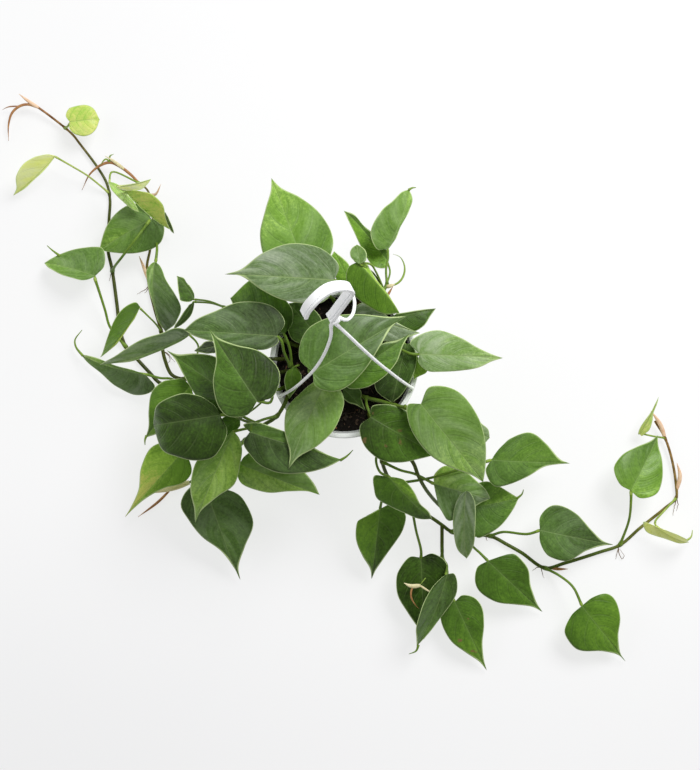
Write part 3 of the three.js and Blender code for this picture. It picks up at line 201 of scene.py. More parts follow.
VINES = {
    "left_long_vine": vine(
        stem=[(289, 371, 86), (287, 371, 110), (278, 373, 125.5), (266, 375, 130), (252, 379, 118),
              (235, 384, 84), (215, 389, 40), (195, 389, 14), (178, 387, 5), (160, 383, 3.2),
              (150, 373, 3), (137, 359, 3), (126, 347, 3), (120, 330, 3), (117, 305, 3),
              (112, 269, 3), (108, 250, 3), (109, 220, 3), (110, 200, 3), (107, 184, 3),
              (98, 168, 3), (80, 144, 3.4), (72, 134, 4), (50, 116, 7), (39, 108, 9)],
        leaves=[
            leaf([(66, 127, 4.5), (68, 126, 16), (70, 122, 24)], (99.5, 119, 19),
                 [1.5, 13, 15, 17, 16, 10.5], [3.5, 15, 16, 16.5, 16, 12], 0.96, 0.08, curl=0.1),
            leaf([(110, 193, 3), (88, 176, 14), (75, 168, 22), (55, 156, 25)], (13.5, 196, 9),
                 [-2, 16, 20, 23, 19.5, 6], [-0.5, 1, 1.5, 1.5, 1.5, 1], 1.15, 0.25, roll=-40,
                 fold=0.45, lean=-0.02, fade=0.1),
            leaf([(113, 271, 3), (115, 266, 18), (122, 257, 36), (135, 240, 44), (151, 219, 34)],
                 (99, 250, 14), [0, 23.5, 25, 24.5, 19, 9], [8.5, 26, 28, 25, 18, 8.5], 0.54, 0.07,
                 roll=-6, lean=0.05, fade=0.4),
            leaf([(126, 347, 3), (110, 327, 10), (105, 310, 16), (98, 288, 25), (95, 279, 29),
                 (95, 276, 30)], (44, 262.5, 12), [5.5, 31, 30, 25, 17.5, 8],
                 [-2.5, 10, 12, 12.5, 10.5, 6.5], 0.61, 0.09, roll=25, fold=0.3, lean=-0.04,
                 fade=0.32, thread=[(60, 256, 17), (52, 250, 17), (47, 245.5, 17)]),
            leaf([(184, 387, 6), (172, 379, 22), (160, 378, 32), (146, 375, 34)], (80, 355, 10),
                 [-7.5, 3, 4, 5, 6, 5], [9.5, 27.5, 32, 24, 14, 7], 0.54, 0.08, roll=-40,
                 lean=0.14, fade=0.4, thread=[(83, 356, 11), (76, 347, 10), (75, 340, 11),
                 (82, 330, 14)]),
        ],
        shoots=[
            shoot([(39, 108, 9), (29.5, 102, 12), (19, 94, 14)], 1.9, "pink"),
            shoot([(39, 108, 9), (28, 104.5, 11), (20, 106, 11), (12, 113, 10), (8.5, 125, 7),
                  (8.5, 141, 3)], 1.5, "rust"),
            shoot([(20, 106, 11), (8, 107, 8), (2, 110, 5)], 0.8, "rust"),
        ],
        roots=[
            [(112, 270, 3), (111, 274, 2), (109, 281, 1)],
        ],
        age=(0.06, 0.32), dry=(0.0, 0.95, 0.84), slim=0.62,
    ),
    "left_short_vine": vine(
        stem=[(287, 358, 86), (286, 359, 110), (279, 359, 124), (267, 359, 129), (250, 360, 117),
              (232, 364, 84), (212, 370, 42), (196, 376, 17), (184, 379, 9), (172, 375, 7),
              (165, 360, 7), (162, 345, 6.5), (161, 331, 5.5), (155, 310, 4), (149, 285, 3.2),
              (147, 266, 3.2), (150, 250, 3.2), (153, 222, 3.2), (148, 191, 4), (139, 183, 6)],
        leaves=[
            leaf([(118, 165.5, 12.5), (112, 172, 32), (109, 182.5, 44)], (139.5, 212, 40),
                 [-3, 4, 5, 6, 6, 4.5], [-2, 4, 5, 5, 4, 2], 0.89, 0.22, roll=-25, fold=0.2),
            leaf([(139, 183, 6), (134, 190, 30), (123, 190, 52), (116.5, 187, 66)],
                 (151, 179.5, 68), [-3, 5, 6, 8, 8.5, 5], [-4.5, 1, 1.5, 1.5, 1.5, 1], 1.15, 0.4,
                 roll=50),
            leaf([(139, 183, 6), (133, 186, 34), (126, 191, 56)], (169, 229.5, 48),
                 [-4.5, 1, 1.5, 1.5, 1.5, 1], [-4.5, 12, 15.5, 24, 23.5, 10], 0.93, 0.0, roll=30,
                 fold=0.4, lean=-0.03, fade=0.1),
            leaf([(153, 222, 3), (160, 214, 18), (165, 213, 24)], (174, 233.5, 16),
                 [-2, 2, 2.5, 2.5, 2.5, 2], [-2, 1, 1.5, 1.5, 1.5, 1], 0.1, 0),
            leaf([(152, 232, 4), (156, 240, 22), (157, 250, 38), (155, 262, 43)], (165, 332, 24),
                 [-1, 8, 7, 4, 2, 2], [-3.5, 13, 17, 29, 35, 22.5], 0.56, 0.15, roll=25, bow=0.07,
                 fold=0.3, lean=0.06, fade=-0.35),
            leaf([(161, 331, 5.5), (155, 323, 18), (147, 315, 30), (140, 307, 36)], (101, 358, 12),
                 [5, 26, 27, 24, 17.5, 8], [-8, 1, 1.5, 1.5, 1.5, 1], 0.83, 0.0, roll=-55,
                 fold=0.3, lean=-0.14, fade=0.26),
            leaf([(184, 379, 9), (194, 362, 32), (198, 345, 50), (190, 334, 54)], (100, 366, 32),
                 [0, 21, 21, 23, 18.5, 9.5], [-2.5, 3, 3, 3.5, 4, 1], 0.58, 0.21, roll=-50,
                 fold=0.2, lean=-0.05, fade=0.4),
        ],
        shoots=[
            shoot([(139, 183, 6), (130, 174, 9), (120, 166.5, 12), (111, 162.5, 14),
                  (102, 164.5, 14), (90, 174, 10), (82, 190, 4)], 1.7, "rust"),
            shoot([(125, 170, 10.5), (112, 160, 16), (105, 156, 18)], 1.8, "pale"),
            shoot([(148, 280, 3.2), (144, 268, 6), (139, 256, 10)], 1.9, "pink"),
            shoot([(149, 195, 4), (156, 194, 14), (161, 184, 22)], 1.7, "pink"),
            shoot([(110, 162.5, 14), (106, 159, 17), (100, 165, 17)], 1.0, "stalk"),
            shoot([(110, 162.5, 14), (110, 156, 17), (114, 154, 17)], 1.0, "stalk"),
        ],
        roots=[
            [(149, 286, 3.2), (145, 290, 2.5), (141, 292, 2), (137, 294, 1)],
            [(149, 286, 3.2), (146, 292, 2), (144, 293, 1)],
            [(163, 351, 7), (168, 355, 6), (170, 360, 4), (166, 365, 2)],
            [(163, 351, 7), (168, 354, 6), (171, 358, 4), (175, 362, 2)],
        ],
        age=(0.1, 0.4), dry=(0.0, 0.35, 0.5), slim=0.55,
    ),
    "upper_left_vine": vine(
        stem=[(300, 348, 86), (297, 346, 112), (285, 341, 125), (268, 333, 131), (250, 322, 120),
              (235, 312, 100), (224, 307, 86)],
        leaves=[
            leaf([(224, 307, 86), (208, 301, 66), (194, 299, 60)], (177, 275.5, 50),
                 [-2.5, 3, 4, 4, 4, 4], [2, 17.5, 16, 13.5, 9.5, 4], 0.29, 0, roll=48),
            leaf([(226, 308, 88), (210, 303, 62), (194, 302, 50)], (174, 329, 40),
                 [-2.5, 4, 4, 4.5, 4, 3], [-3, 3, 4, 6, 5, 3], 0.32, 0, roll=-45),
            leaf([(235, 312, 100), (232, 330, 84), (216, 346, 76)], (194, 351, 66),
                 [-1.5, 6, 6.5, 7, 4, 2], [-1, 7, 6.5, 6, 4, 2], 0.15, 0.1),
        ],
    ),
    "left_crown": vine(
        stem=[(299, 372, 86), (298, 371, 112), (294, 368, 128), (290, 366, 138)],
        leaves=[
            leaf([(290, 366, 137), (284, 352, 150), (281, 340, 158), (277, 336, 158)],
                 (183, 330, 112), [7.5, 29, 32, 31, 21.5, 11.5], [2, 14, 15, 12, 10, 6], 0.38,
                 0.09, lean=-0.02, fade=0.4),
            leaf([(291, 366, 134), (290, 350, 140), (286, 338, 142), (284, 334, 140)],
                 (230, 298, 124), [1.5, 24.5, 28, 31, 32, 30], [-3, 9, 11, 13, 11.5, 6], 0.39, 0,
                 lean=0.11, fade=0.4),
            leaf([(292, 367, 129), (299, 365, 134), (293, 367, 137)], (289, 399, 130),
                 [-2.5, 5, 6, 7, 5.5, 2.5], [-2, 7.5, 9.5, 10, 7, 3], 0.67, 0),
        ],
    ),
    "left_edge_crown": vine(
        stem=[(289, 384, 86), (287, 386, 108), (280, 389, 124), (272, 391, 138)],
        leaves=[
            leaf([(272, 391, 138), (255, 396, 134), (233, 396, 128)], (166, 350, 88),
                 [-3.5, 17, 21, 23, 15, 3], [9.5, 25, 25, 19, 10, 2], 0.34, 0, lean=0.02,
                 fade=0.4),
            leaf([(272, 391, 138), (272, 399, 156), (268, 403, 170), (257, 401, 172)],
                 (208.5, 328, 140), [6, 32, 35, 30.5, 14.5, 2.5], [6, 33, 34, 27, 11, 3], 0.24,
                 0.01, lean=-0.06, fade=0.4),
            leaf([(274, 390, 135), (255, 408, 126), (240, 418, 116)], (216, 434, 100),
                 [-1, 7, 9, 10, 9, 5.5], [-2.5, 7, 7.5, 10, 9, 7], 0.54, 0.02),
        ],
    ),
    "front_left_vine": vine(
        stem=[(299, 384, 86), (296, 386, 110), (289, 392, 121), (285, 403, 128.5), (277, 416, 128),
              (262, 426, 112), (245, 440, 84), (225, 455, 46), (205, 468, 16), (190, 482, 5),
              (170, 490, 3.5)],
        leaves=[
            leaf([(262, 426, 112), (235, 412, 112), (208, 392, 104), (190, 386, 98)],
                 (145, 438, 60), [0.5, 18.5, 24, 26, 15.5, 4], [-3.5, 14.5, 17, 17, 13, 6], 0.69,
                 0.01, lean=-0.09, fade=-0.06, thread=[(146.5, 435.5, 61.2), (145, 440, 60),
                 (145, 445, 58)]),
            leaf([(262, 426, 112), (245, 421, 134), (230, 415, 152), (220, 415, 154)],
                 (149, 426, 104), [-3.5, 16.5, 22, 27, 25, 17], [5.5, 34, 41, 41, 35, 26], 0.26,
                 0.0, curl=0.08, lean=-0.03, fade=0.2),
            leaf([(205, 468, 16), (200, 456, 44), (190, 451, 58), (182, 453, 60)], (124, 518, 16),
                 [1, 25.5, 28, 22, 8, 2], [0.5, 22, 22.5, 11, 4, 1], 0.81, 0, lean=0.08, fade=0.4),
            leaf([(262, 426, 112), (250, 428, 122), (240, 430, 126), (233, 431, 124)],
                 (194.5, 524, 62), [-8, 6, 8, 22.5, 18.5, 6], [-4, 16, 19, 23, 11, 1], 0.79, 0.08,
                 lean=-0.03, fade=0.05),
            leaf([(225, 455, 46), (222, 470, 58), (213, 484, 60), (207, 492, 54)],
                 (240.5, 581, 10), [11.5, 31, 28, 21, 6.5, 1], [-1, 29, 34, 36, 19, 3.5], 0.41,
                 0.07, lean=-0.03, fade=0.08),
            leaf([(277, 416, 128), (262, 420, 135), (252, 425, 140), (250, 432, 140)],
                 (342, 460, 126), [3, 22.5, 28.5, 30.5, 24.5, 13], [8.5, 11.5, 11.5, 10, 5, 1],
                 0.35, 0.03, lean=-0.14, fade=0.4, thread=[(340, 460.5, 125.5), (347, 456, 126),
                 (353, 450, 127)]),
            leaf([(245, 440, 84), (238, 450, 98), (237, 458, 104), (240, 464, 104)],
                 (320, 495, 78), [0, 18, 19, 17, 8, 1], [-1, 19, 20, 19, 19, 11], 0.7, 0.07,
                 lean=0.08, fade=0.23),
        ],
        shoots=[
            shoot([(170, 490, 3.5), (158, 502, 3), (138, 517, 2)], 1.5, "rust"),
            shoot([(190, 484, 6), (172, 488, 8), (152, 493, 7)], 3.4, "pale"),
        ],
        age=(0.4, 0.6), dry=(0.0, 0.0, 0.5), slim=0.58,
    ),
    "rear_crown": vine(
        stem=[(338, 308, 86), (337, 306, 112), (332, 298, 130), (320, 290, 146), (308, 280, 156)],
        leaves=[
            leaf([(308, 280, 156), (306, 272, 162), (303, 262, 162)], (271, 177, 112),
                 [12, 34, 36.5, 33, 20, 5], [-2, 30, 34, 30.5, 17.5, 5], 0.63, 0.06, fade=0.4),
            leaf([(320, 290, 146), (336, 290, 170), (338, 282, 182), (334, 280, 184)],
                 (224, 274, 150), [4, 27, 32, 33, 23, 5], [0.5, 23, 24.5, 23, 14, 1], 0.5, 0.28,
                 fade=0.23),
            leaf([(337, 306, 112), (350, 302, 120), (352, 288, 126), (349, 280, 127)],
                 (334, 251, 112), [-3, 4.5, 5.5, 7, 5, 2], [-0.5, 10, 11, 10.5, 9, 6], 0.77, 0.01),
        ],
    ),
    "middle_crown": vine(
        stem=[(312, 349, 86), (311, 350, 112), (312, 354, 130), (314, 361, 150)],
        leaves=[
            leaf([(314, 361, 150), (309, 370, 174), (311, 373, 186), (313, 372, 188)],
                 (407, 316, 168), [5, 27, 29, 24, 12.5, 1], [4.5, 34, 39, 36, 25, 8.5], 0.46, 0.06,
                 fade=-0.28),
            leaf([(311, 350, 112), (320, 348, 126), (322, 340, 132)], (289, 303, 122),
                 [-2.5, 10, 11.5, 14.5, 14, 10], [0.5, 14, 18, 22, 18, 10.5], 0.38, 0.02,
                 fade=-0.28),
        ],
    ),
    "front_crown": vine(
        stem=[(330, 392, 86), (329, 391, 112), (326, 388, 132)],
        leaves=[
            leaf([(326, 388, 131), (329, 380, 139), (328, 381, 144), (325, 383, 145)],
                 (288, 469, 141), [-0.5, 14, 18, 24.5, 18, 4], [2.5, 25, 28, 28.5, 20.5, 5.5],
                 0.76, 0.16, roll=12, lean=-0.02, fade=-0.35),
            leaf([(329, 391, 112), (337, 386, 122), (343, 388, 126)], (366, 411, 113),
                 [-3, 5, 7, 6.5, 3, 1], [-2, 10, 11, 11, 5.5, 2], 0.42, 0.03),
        ],
    ),
    "right_crown": vine(
        stem=[(352, 366, 86), (352, 366, 112), (350, 368, 130), (347, 373, 142)],
        leaves=[
            leaf([(347, 373, 142), (342, 379, 152), (345, 380, 156)], (410, 333.5, 142),
                 [2, 15.5, 19, 20, 16, 5.5], [-3, 8.5, 9, 9, 8, 1], 0.42, 0, lean=0.07,
                 fade=-0.08),
        ],
    ),
    "upper_right_vine": vine(
        stem=[(370, 322, 86), (371, 318, 110), (376, 306, 124), (380, 299, 129.5), (384, 290, 131),
              (387, 284, 128)],
        leaves=[
            leaf([(384, 290, 131), (376, 272, 150), (370, 264, 162), (358, 262, 164)],
                 (400, 313, 142), [2, 18, 21, 22, 19, 13], [-1.5, 7.5, 5, 2.5, 2, 1], 0.75, 0,
                 fold=-0.5, droop=0, roll=-20, lean=-0.14, fade=0.12),
            leaf([(384, 290, 131), (374, 274, 146), (366, 268, 160), (360, 264, 166)],
                 (357, 244.5, 158), [-1, 6.5, 7, 8, 7, 4], [-1.5, 5, 5.5, 8, 8, 5.5], 0.55, 0.09),
            leaf([(387, 284, 128), (386, 270, 126), (388, 258, 122), (388, 249, 116)],
                 (410, 189, 84), [-5.5, 2, 3, 3, 5, 6.5], [7.5, 25, 27, 25, 17, 10], 0.65, 0.08,
                 roll=30, lean=0.03, fade=0.3, thread=[(408.5, 190, 85.1), (412, 188, 85),
                 (416, 187.5, 85)]),
            leaf([(386, 286, 129), (390, 272, 116), (388, 262, 106)], (344, 210, 76),
                 [-4, 6, 6.5, 6.5, 4, 4.5], [4, 16, 16, 13.5, 9, 4.5], 0.58, 0, roll=20,
                 lean=-0.12, fade=-0.15),
        ],
        shoots=[
            shoot([(386, 285, 129), (395, 284.5, 126), (401, 280, 122), (404.5, 272, 117),
                  (404, 264, 113), (400, 257, 112), (393, 254, 112)], 1.1, "stalk"),
            shoot([(383, 292, 131), (386, 296, 130), (393, 286.5, 130)], 1.6, "rust"),
            shoot([(386, 287, 130), (390, 286, 131), (395, 284, 130)], 2.0, "pale"),
        ],
    ),
    "right_edge_crown": vine(
        stem=[(383, 346, 86), (384, 345, 112), (388, 342, 122)],
        leaves=[
            leaf([(384, 345, 112), (388, 330, 124), (392, 318, 130)], (436, 308.5, 122),
                 [-2.5, 12, 14.5, 18, 15, 6], [-2, 3.5, 3, 2.5, 2, 1], 0.39, 0),
            leaf([(384, 345, 113), (365, 330, 122), (354, 314, 128)], (420, 333, 131),
                 [-4, 10.5, 13, 18, 17, 8], [1.5, 13.5, 12.5, 9, 4, 1], 0.49, 0.4),
            leaf([(384, 345, 112), (396, 338, 126), (406, 344, 131)], (392, 403, 125),
                 [-3.5, 9, 11, 18, 23, 19], [1, 11, 14, 14.5, 12, 7], 0.3, 0.02, lean=-0.02,
                 fade=-0.35),
            leaf([(388, 342, 122), (398, 346, 128), (408, 351, 130), (417, 357, 129)],
                 (414, 379, 127), [-2.5, 1, 1.5, 1.5, 1.5, 1], [-2, 6.5, 8, 12, 11.5, 5], 0.85, 0),
            leaf([(388, 342, 122), (402, 350, 136), (412, 354, 142), (420, 354, 142)],
                 (504, 358, 94), [2, 17, 17, 15.5, 12, 4], [11, 21.5, 24.5, 19, 10, 3], 0.68, 0.27,
                 lean=-0.02, fade=0.4),
        ],
    ),
    "front_right_vine": vine(
        stem=[(356, 391, 86), (357, 392, 108), (364, 397, 121), (380, 401, 131), (395, 405, 139),
              (405, 407, 146)],
        leaves=[
            leaf([(366, 398, 123), (367, 406, 138), (371, 417, 142)], (436, 455, 124),
                 [5, 26, 30.5, 32, 24.5, 10.5], [4.5, 18, 22, 23, 18, 10], 0.33, 0, worn=0.5,
                 lean=-0.03, fade=0.4),
            leaf([(405, 407, 146), (414, 407, 153), (421, 404, 155)], (484, 483, 102),
                 [8.5, 21.5, 25, 25, 17, 5], [8.5, 33, 38, 36.5, 28, 13.5], 0.7, 0.11, fade=0.2),
            leaf([(395, 405, 139), (430, 418, 122), (455, 424, 108)], (490, 438, 92),
                 [-4, 8, 11, 15.5, 16, 11], [-0.5, 13, 14, 14, 10.5, 8], 0.61, 0.19),
        ],
    ),
    "right_long_vine": vine(
        stem=[(368, 410, 86), (369, 415, 110), (373, 425, 125.5), (377, 434, 130), (379, 448, 121),
              (384, 468, 99), (392, 484, 74), (405, 500, 46), (420, 511, 20), (432, 518, 7),
              (442, 525, 3.6), (452, 532, 3.2), (470, 535, 3), (490, 536, 3), (508, 545, 3),
              (522, 553, 3), (545, 568, 3), (565, 563, 3), (600, 552, 3), (620, 545, 3),
              (640, 528, 3), (665, 508, 3), (676, 498, 3.5), (676, 485, 4), (672, 460, 5),
              (665, 438, 7), (655, 421, 9)],
        branches=[
            [(442, 525, 3.6), (442, 545, 3), (442, 558, 3), (440, 570, 3)],
            [(378, 442, 125), (395, 448, 121), (412, 461, 108), (418, 475, 96), (425, 488, 78),
             (437, 503, 44), (452, 517, 16), (463, 534, 3)],
        ],
        leaves=[
            leaf([(452, 517, 16), (458, 505, 56), (466, 496, 88), (466, 491, 96)],
                 (466, 559.5, 52), [-3.5, 8, 10, 12, 11, 8], [0, 11.5, 13, 14, 13, 7], 0.57, 0.23,
                 roll=30, fold=0.3, fade=0.4),
            leaf([(379, 449, 120), (376, 460, 122), (380, 472, 120), (389, 477, 114)],
                 (432, 520, 76), [9.5, 21, 26, 21, 14.5, 9], [-3.5, 11, 11.5, 10, 6, 5], 0.57, 0.0,
                 roll=25, lean=-0.1, fade=-0.25),
            leaf([(392, 484, 74), (385, 492, 70), (382, 500, 66), (380, 509, 58)],
                 (371.5, 580, 12), [-7.5, 19, 22.5, 22, 13, 2.5], [7.5, 28, 27, 20, 10.5, 3], 0.47,
                 0, lean=0.09, fade=-0.35),
            leaf([(412, 506, 34), (416, 530, 40), (421, 550, 38), (421, 558, 34)], (424, 640, 8),
                 [2, 22.5, 27, 27, 17, 6], [4.5, 27, 29, 25, 18, 9], 0.24, 0, lean=0.03,
                 fade=0.15),
            leaf([(442, 558, 3), (447, 566, 32), (447, 574.5, 48)], (417.5, 647, 26),
                 [-3, 15, 18, 22, 21, 11], [2.5, 15, 17, 12.5, 7, 2.5], 0.36, 0.03, roll=-35,
                 fold=0.3, fade=0.4, thread=[(418.5, 645, 25.8), (416, 651, 24), (409, 654, 22)]),
            leaf([(440, 570, 3), (446, 588, 22), (455, 602, 28)], (487, 671, 6),
                 [8, 20, 23, 22, 13, 3], [3.5, 22, 24, 18, 8, 2], 0.46, 0.0, worn=0.8, fade=0.35),
            leaf([(470, 535, 3), (472, 545, 14), (480, 553, 28), (488, 561, 32)], (543, 612.5, 8),
                 [4, 27, 30, 27, 14.5, 3], [-5.5, 21, 25.5, 24, 11.5, 3], 0.46, 0.0, lean=0.02,
                 fade=0.29),
            leaf([(490, 536, 3), (503, 532, 16), (528, 534, 32), (540, 530, 36)], (614, 545, 14),
                 [-2, 22, 26, 27, 12, 3], [3, 28.5, 30, 25, 12, 2], 0.43, 0.06, fade=-0.21),
            leaf([(545, 568, 3), (560, 576, 16), (573, 587, 26), (582, 606, 30)], (626, 662, 6),
                 [0, 31, 34, 33.5, 14, 2], [0.5, 30, 32, 25, 10.5, 1], 0.57, 0.0, lean=-0.03,
                 fade=0.26),
            leaf([(620, 545, 3), (629, 520, 22), (631, 500, 36), (631, 490.5, 38)], (658, 435, 14),
                 [2.5, 23, 26.5, 24.5, 16, 5], [0.5, 24, 28, 26, 16.5, 5], 0.68, 0.03, lean=0.06,
                 fade=-0.24),
            leaf([(677, 499, 3.5), (665, 510, 18), (655, 522, 26), (655, 526, 27)], (689, 543, 10),
                 [12, 12, 10, 7.5, 5.5, 4], [-4.5, 10, 13, 18, 17, 7.5], 1.06, 0.15, roll=60,
                 fold=0.4, thread=[(685, 541.5, 15.6), (691, 537, 15), (692.5, 530, 14)]),
            leaf([(665, 438, 7), (652, 436, 12), (640, 434, 14)], (659, 397, 22),
                 [1, 4.5, 6, 4.5, 1.5, 1], [1, 4, 4.5, 3.5, 1.5, 1], 0.97, 0.15, roll=12,
                 fold=0.5),
            leaf([(392, 484, 74), (430, 478, 88), (470, 466, 86), (491.5, 460, 78)],
                 (571, 463.5, 28), [6.5, 27.5, 25, 16, 4.5, 1], [-6, 18.5, 24, 31, 20, 4], 0.52,
                 0.03, lean=-0.04, fade=0.32),
            leaf([(380, 463, 108), (400, 470, 106), (415, 474, 98), (434, 484, 88)],
                 (491, 499, 54), [-6, 19, 24, 33, 18, 6], [3, 21, 22, 21, 15, 8.5], 0.66, 0.14,
                 lean=-0.14, fade=-0.35),
            leaf([(452, 532, 3.2), (462, 520, 28), (470, 512, 42), (470, 508, 46)], (519, 498, 32),
                 [6.5, 32.5, 32, 28, 20.5, 10], [2, 21, 24, 24.5, 17, 7], 0.53, 0.03, lean=-0.1,
                 fade=0.4, thread=[(517, 498.5, 32.3), (522, 494, 33), (523.5, 489.5, 34)]),
        ],
        shoots=[
            shoot([(440, 562, 3), (430, 573, 26), (419, 586, 38)], 1.3, "stalk"),
            shoot([(420, 585, 38), (412.5, 588, 40), (411, 596, 40), (414, 603, 37),
                  (419, 609, 33)], 1.0, "rust"),
            shoot([(420, 585, 38), (427, 590, 40), (434, 594, 40)], 1.1, "pale"),
            shoot([(420, 586, 38), (411, 586, 41), (404, 583, 42)], 2.4, "pale"),
            shoot([(442, 556, 3.4), (445, 566, 6), (449, 577, 6)], 2.2, "pale"),
            shoot([(665, 438, 7), (660, 424, 11), (651, 411, 15)], 2.4, "pink"),
            shoot([(677, 490, 4), (680, 476, 7), (677, 463, 8)], 2.4, "pink"),
            shoot([(550, 567, 3.4), (558, 569, 5), (568, 569, 6)], 1.7, "rust"),
        ],
        roots=[
            [(540, 567, 3.2), (536, 568, 2), (532, 571, 1)],
            [(541, 567, 3.2), (542, 573, 2), (544, 578, 1)],
            [(486, 537, 3.2), (487, 541, 1)],
            [(618, 546, 3.2), (619, 553, 3), (622, 559, 2), (624, 556, 2), (620, 549, 3)],
            [(619, 546, 3.2), (617, 553, 2), (616, 559, 1)],
            [(677, 499, 3.2), (678, 505, 2), (676, 511, 1)],
            [(676, 500, 3.2), (674, 508, 2), (673, 516, 1)],
        ],
        age=(0.28, 0.5), dry=(0.0, 0.8, 0.66), slim=0.7,
    ),
}


# Sizes and colours that a user would change
def length(name, description, default):
    return bpy.props.FloatProperty(name=name, description=description, default=default, min=0.0,
                                   unit="LENGTH", subtype="DISTANCE")


def colour(name, description, default):
    return bpy.props.FloatVectorProperty(name=name, description=description, default=default,
                                         size=3, min=0.0, max=1.0, subtype="COLOR")


def number(name, description, default):
    return bpy.props.FloatProperty(name=name, description=description, default=default)


def count(name, description, default):
    return bpy.props.IntProperty(name=name, description=description, default=default, min=0)


class PotSettings(bpy.types.PropertyGroup):
    height: length("Height", "Height of the pot from its base to its lip", POT_HEIGHT)
    rim_radius: length("Rim radius", "Outer radius of the rolled lip", RIM_RADIUS)
    mouth_radius: length("Mouth radius", "Inner radius of the lip", MOUTH_RADIUS)
    base_radius: length("Base radius", "Radius of the flat base", BASE_RADIUS)
    wall: length("Wall", "Thickness of the moulded wall", WALL)
    segments: count("Segments", "Faces round the pot", 144)
    plastic: colour("Plastic", "Colour of the white plastic", (0.92, 0.93, 0.94))


class SoilSettings(bpy.types.PropertyGroup):
    mound: length("Mound", "How much higher the soil is in the middle", SOIL_MOUND)
    clod: length("Clod", "Height of the lumps in the top of the soil", 2.2 * MM)
    chips: count("Chips", "Number of loose bark chips", 420)
    chip_size: length("Chip size", "Usual length of a bark chip", 4.5 * MM)
    peat: colour("Peat", "Colour of the damp peat", (0.007, 0.005, 0.004))
    bark: colour("Bark", "Colour of the bark chips", (0.060, 0.030, 0.016))


class HangerSettings(bpy.types.PropertyGroup):
    strand_radius: length("Strand radius", "Radius of a strand", 1.5 * MM)
    strap_width: length("Strap width", "Width of the hook's flat strap", HOOK_SECTION[0])
    # A real white plastic, made brighter than the pot's to make up for shade on it: partly painted
    # light
    plastic: colour("Plastic", "Colour of the hanger's plastic", (0.965, 0.975, 0.985))


class PlantSettings(bpy.types.PropertyGroup):
    stem_radius: length("Stem radius", "Radius of a stem between its nodes", 2.1 * MM)
    petiole_radius: length("Petiole radius", "Radius of a petiole in its middle", 1.5 * MM)
    blade: length("Blade", "Thickness of a leaf's blade", 0.55 * MM)
    relief: length("Relief", "Height of the swellings between side veins", 0.45 * MM)
    dark: colour("Old leaf", "Colour of an old leaf's upper face", (0.012, 0.022, 0.005))
    deep: colour("Grown leaf", "Colour of a grown leaf's upper face", (0.034, 0.070, 0.009))
    middle: colour("Full leaf", "Colour of a leaf that has just grown to its size",
                   (0.070, 0.155, 0.015))
    bright: colour("Bright leaf", "Colour of a bright leaf's upper face", (0.150, 0.30, 0.026))
    fresh: colour("Fresh leaf", "Colour of a fresh leaf's upper face", (0.34, 0.57, 0.07))
    young: colour("Young leaf", "Colour of the youngest leaf", (0.60, 0.66, 0.14))
    # Painted sheen: a pale colour mixed into the blade that stands for reflected light
    sheen_colour: colour("Silver", "Colour of the waxy bloom on a blade", (0.60, 0.62, 0.56))
    vein: colour("Vein", "Colour of the midrib and the side veins", (0.27, 0.37, 0.14))
    rim: colour("Rim", "Colour of a blade's thin edge", (0.50, 0.62, 0.28))
    seed: count("Seed", "Seed for what differs between leaves", 11)


class StageSettings(bpy.types.PropertyGroup):
    floor: colour("Floor", "Colour of the plain floor", (0.21, 0.21, 0.212))
    glow: number("Floor glow",
                 "Light that comes out of the floor itself, which keeps shadows faint", 0.755)
    key: number("Key light", "Power of the large soft light at the upper right, in watts", 78.0)
    fill: number("Fill light", "Strength of the even light from all round", 0.33)


# Small tools for shape
CURVE_PARTS = 12


def seen(place):
    """The place in metres that shows at a column and row of the view, at a height in mm."""
    column, row, height = place
    scale = SURFACE_SCALE * (1 - height * MM / EYE.z)
    x = EYE.x + (column - COLUMNS / 2) * scale
    y = EYE.y - (row - ROWS / 2) * scale
    return Vector((x, y, height * MM))


def on_curve(points, place):
    """A place on the centripetal curve through points, which place counts from 0."""
    last = len(points) - 1
    index = min(int(place), last - 1)
    share = place - index
    a, b = points[index], points[index + 1]
    before = points[index - 1] if index else 2 * a - b
    after = points[index + 2] if index + 2 <= last else 2 * b - a
    lead, span, trail = [max((q - p).length ** 0.5, 1e-6)
                         for p, q in ((before, a), (a, b), (b, after))]
    start = ((a - before) / lead - (b - before) / (lead + span) + (b - a) / span) * span
    end = ((b - a) / span - (after - a) / (span + trail) + (after - b) / trail) * span
    square = (3 * (b - a) - 2 * start - end) * share ** 2
    cube = (2 * (a - b) + start + end) * share ** 3
    return a + start * share + square + cube


def smooth(points, step):
    """Points along the curve through points, evenly spaced by about step."""
    fine = [on_curve(points, i / CURVE_PARTS) for i in range(CURVE_PARTS * (len(points) - 1) + 1)]
    reach = [0.0]
    for a, b in zip(fine, fine[1:]):
        reach.append(reach[-1] + (b - a).length)
    steps = max(2, round(reach[-1] / step))
    out = []
    at = 0
    for i in range(steps + 1):
        goal = reach[-1] * i / steps
        while at < len(fine) - 2 and reach[at + 1] < goal:
            at += 1
        share = (goal - reach[at]) / max(reach[at + 1] - reach[at], 1e-9)
        out.append(fine[at].lerp(fine[at + 1], min(1.0, share)))
    return out


def clamp(value, low=0.0, high=1.0):
    return max(low, min(high, value))


def eased(low, high, value):
    """0 below low, 1 above high and a smooth step between them."""
    share = clamp((value - low) / (high - low))
    return share * share * (3 - 2 * share)


def around(sides):
    """The angles of evenly spaced places round a circle."""
    return [2 * math.pi * k / sides for k in range(sides)]


def level_ring(form, radius, sides, height):
    """Points of a level ring about the pot's axis. height gives z from x and y."""
    ring = []
    for angle in around(sides):
        x, y = radius * math.cos(angle), radius * math.sin(angle)
        ring.append(form.point((x, y, height(x, y))))
    return ring


# What a face says to its material. worn is how spotted a leaf is, or how far a stem has dried.
# sheen is a leaf's painted sheen, and lean and fade are its painted light and shade.
MARK_WORDS = ("tone", "under", "seed", "worn", "bloom", "lean", "fade")
NO_MARKS = (0.0,) * len(MARK_WORDS)


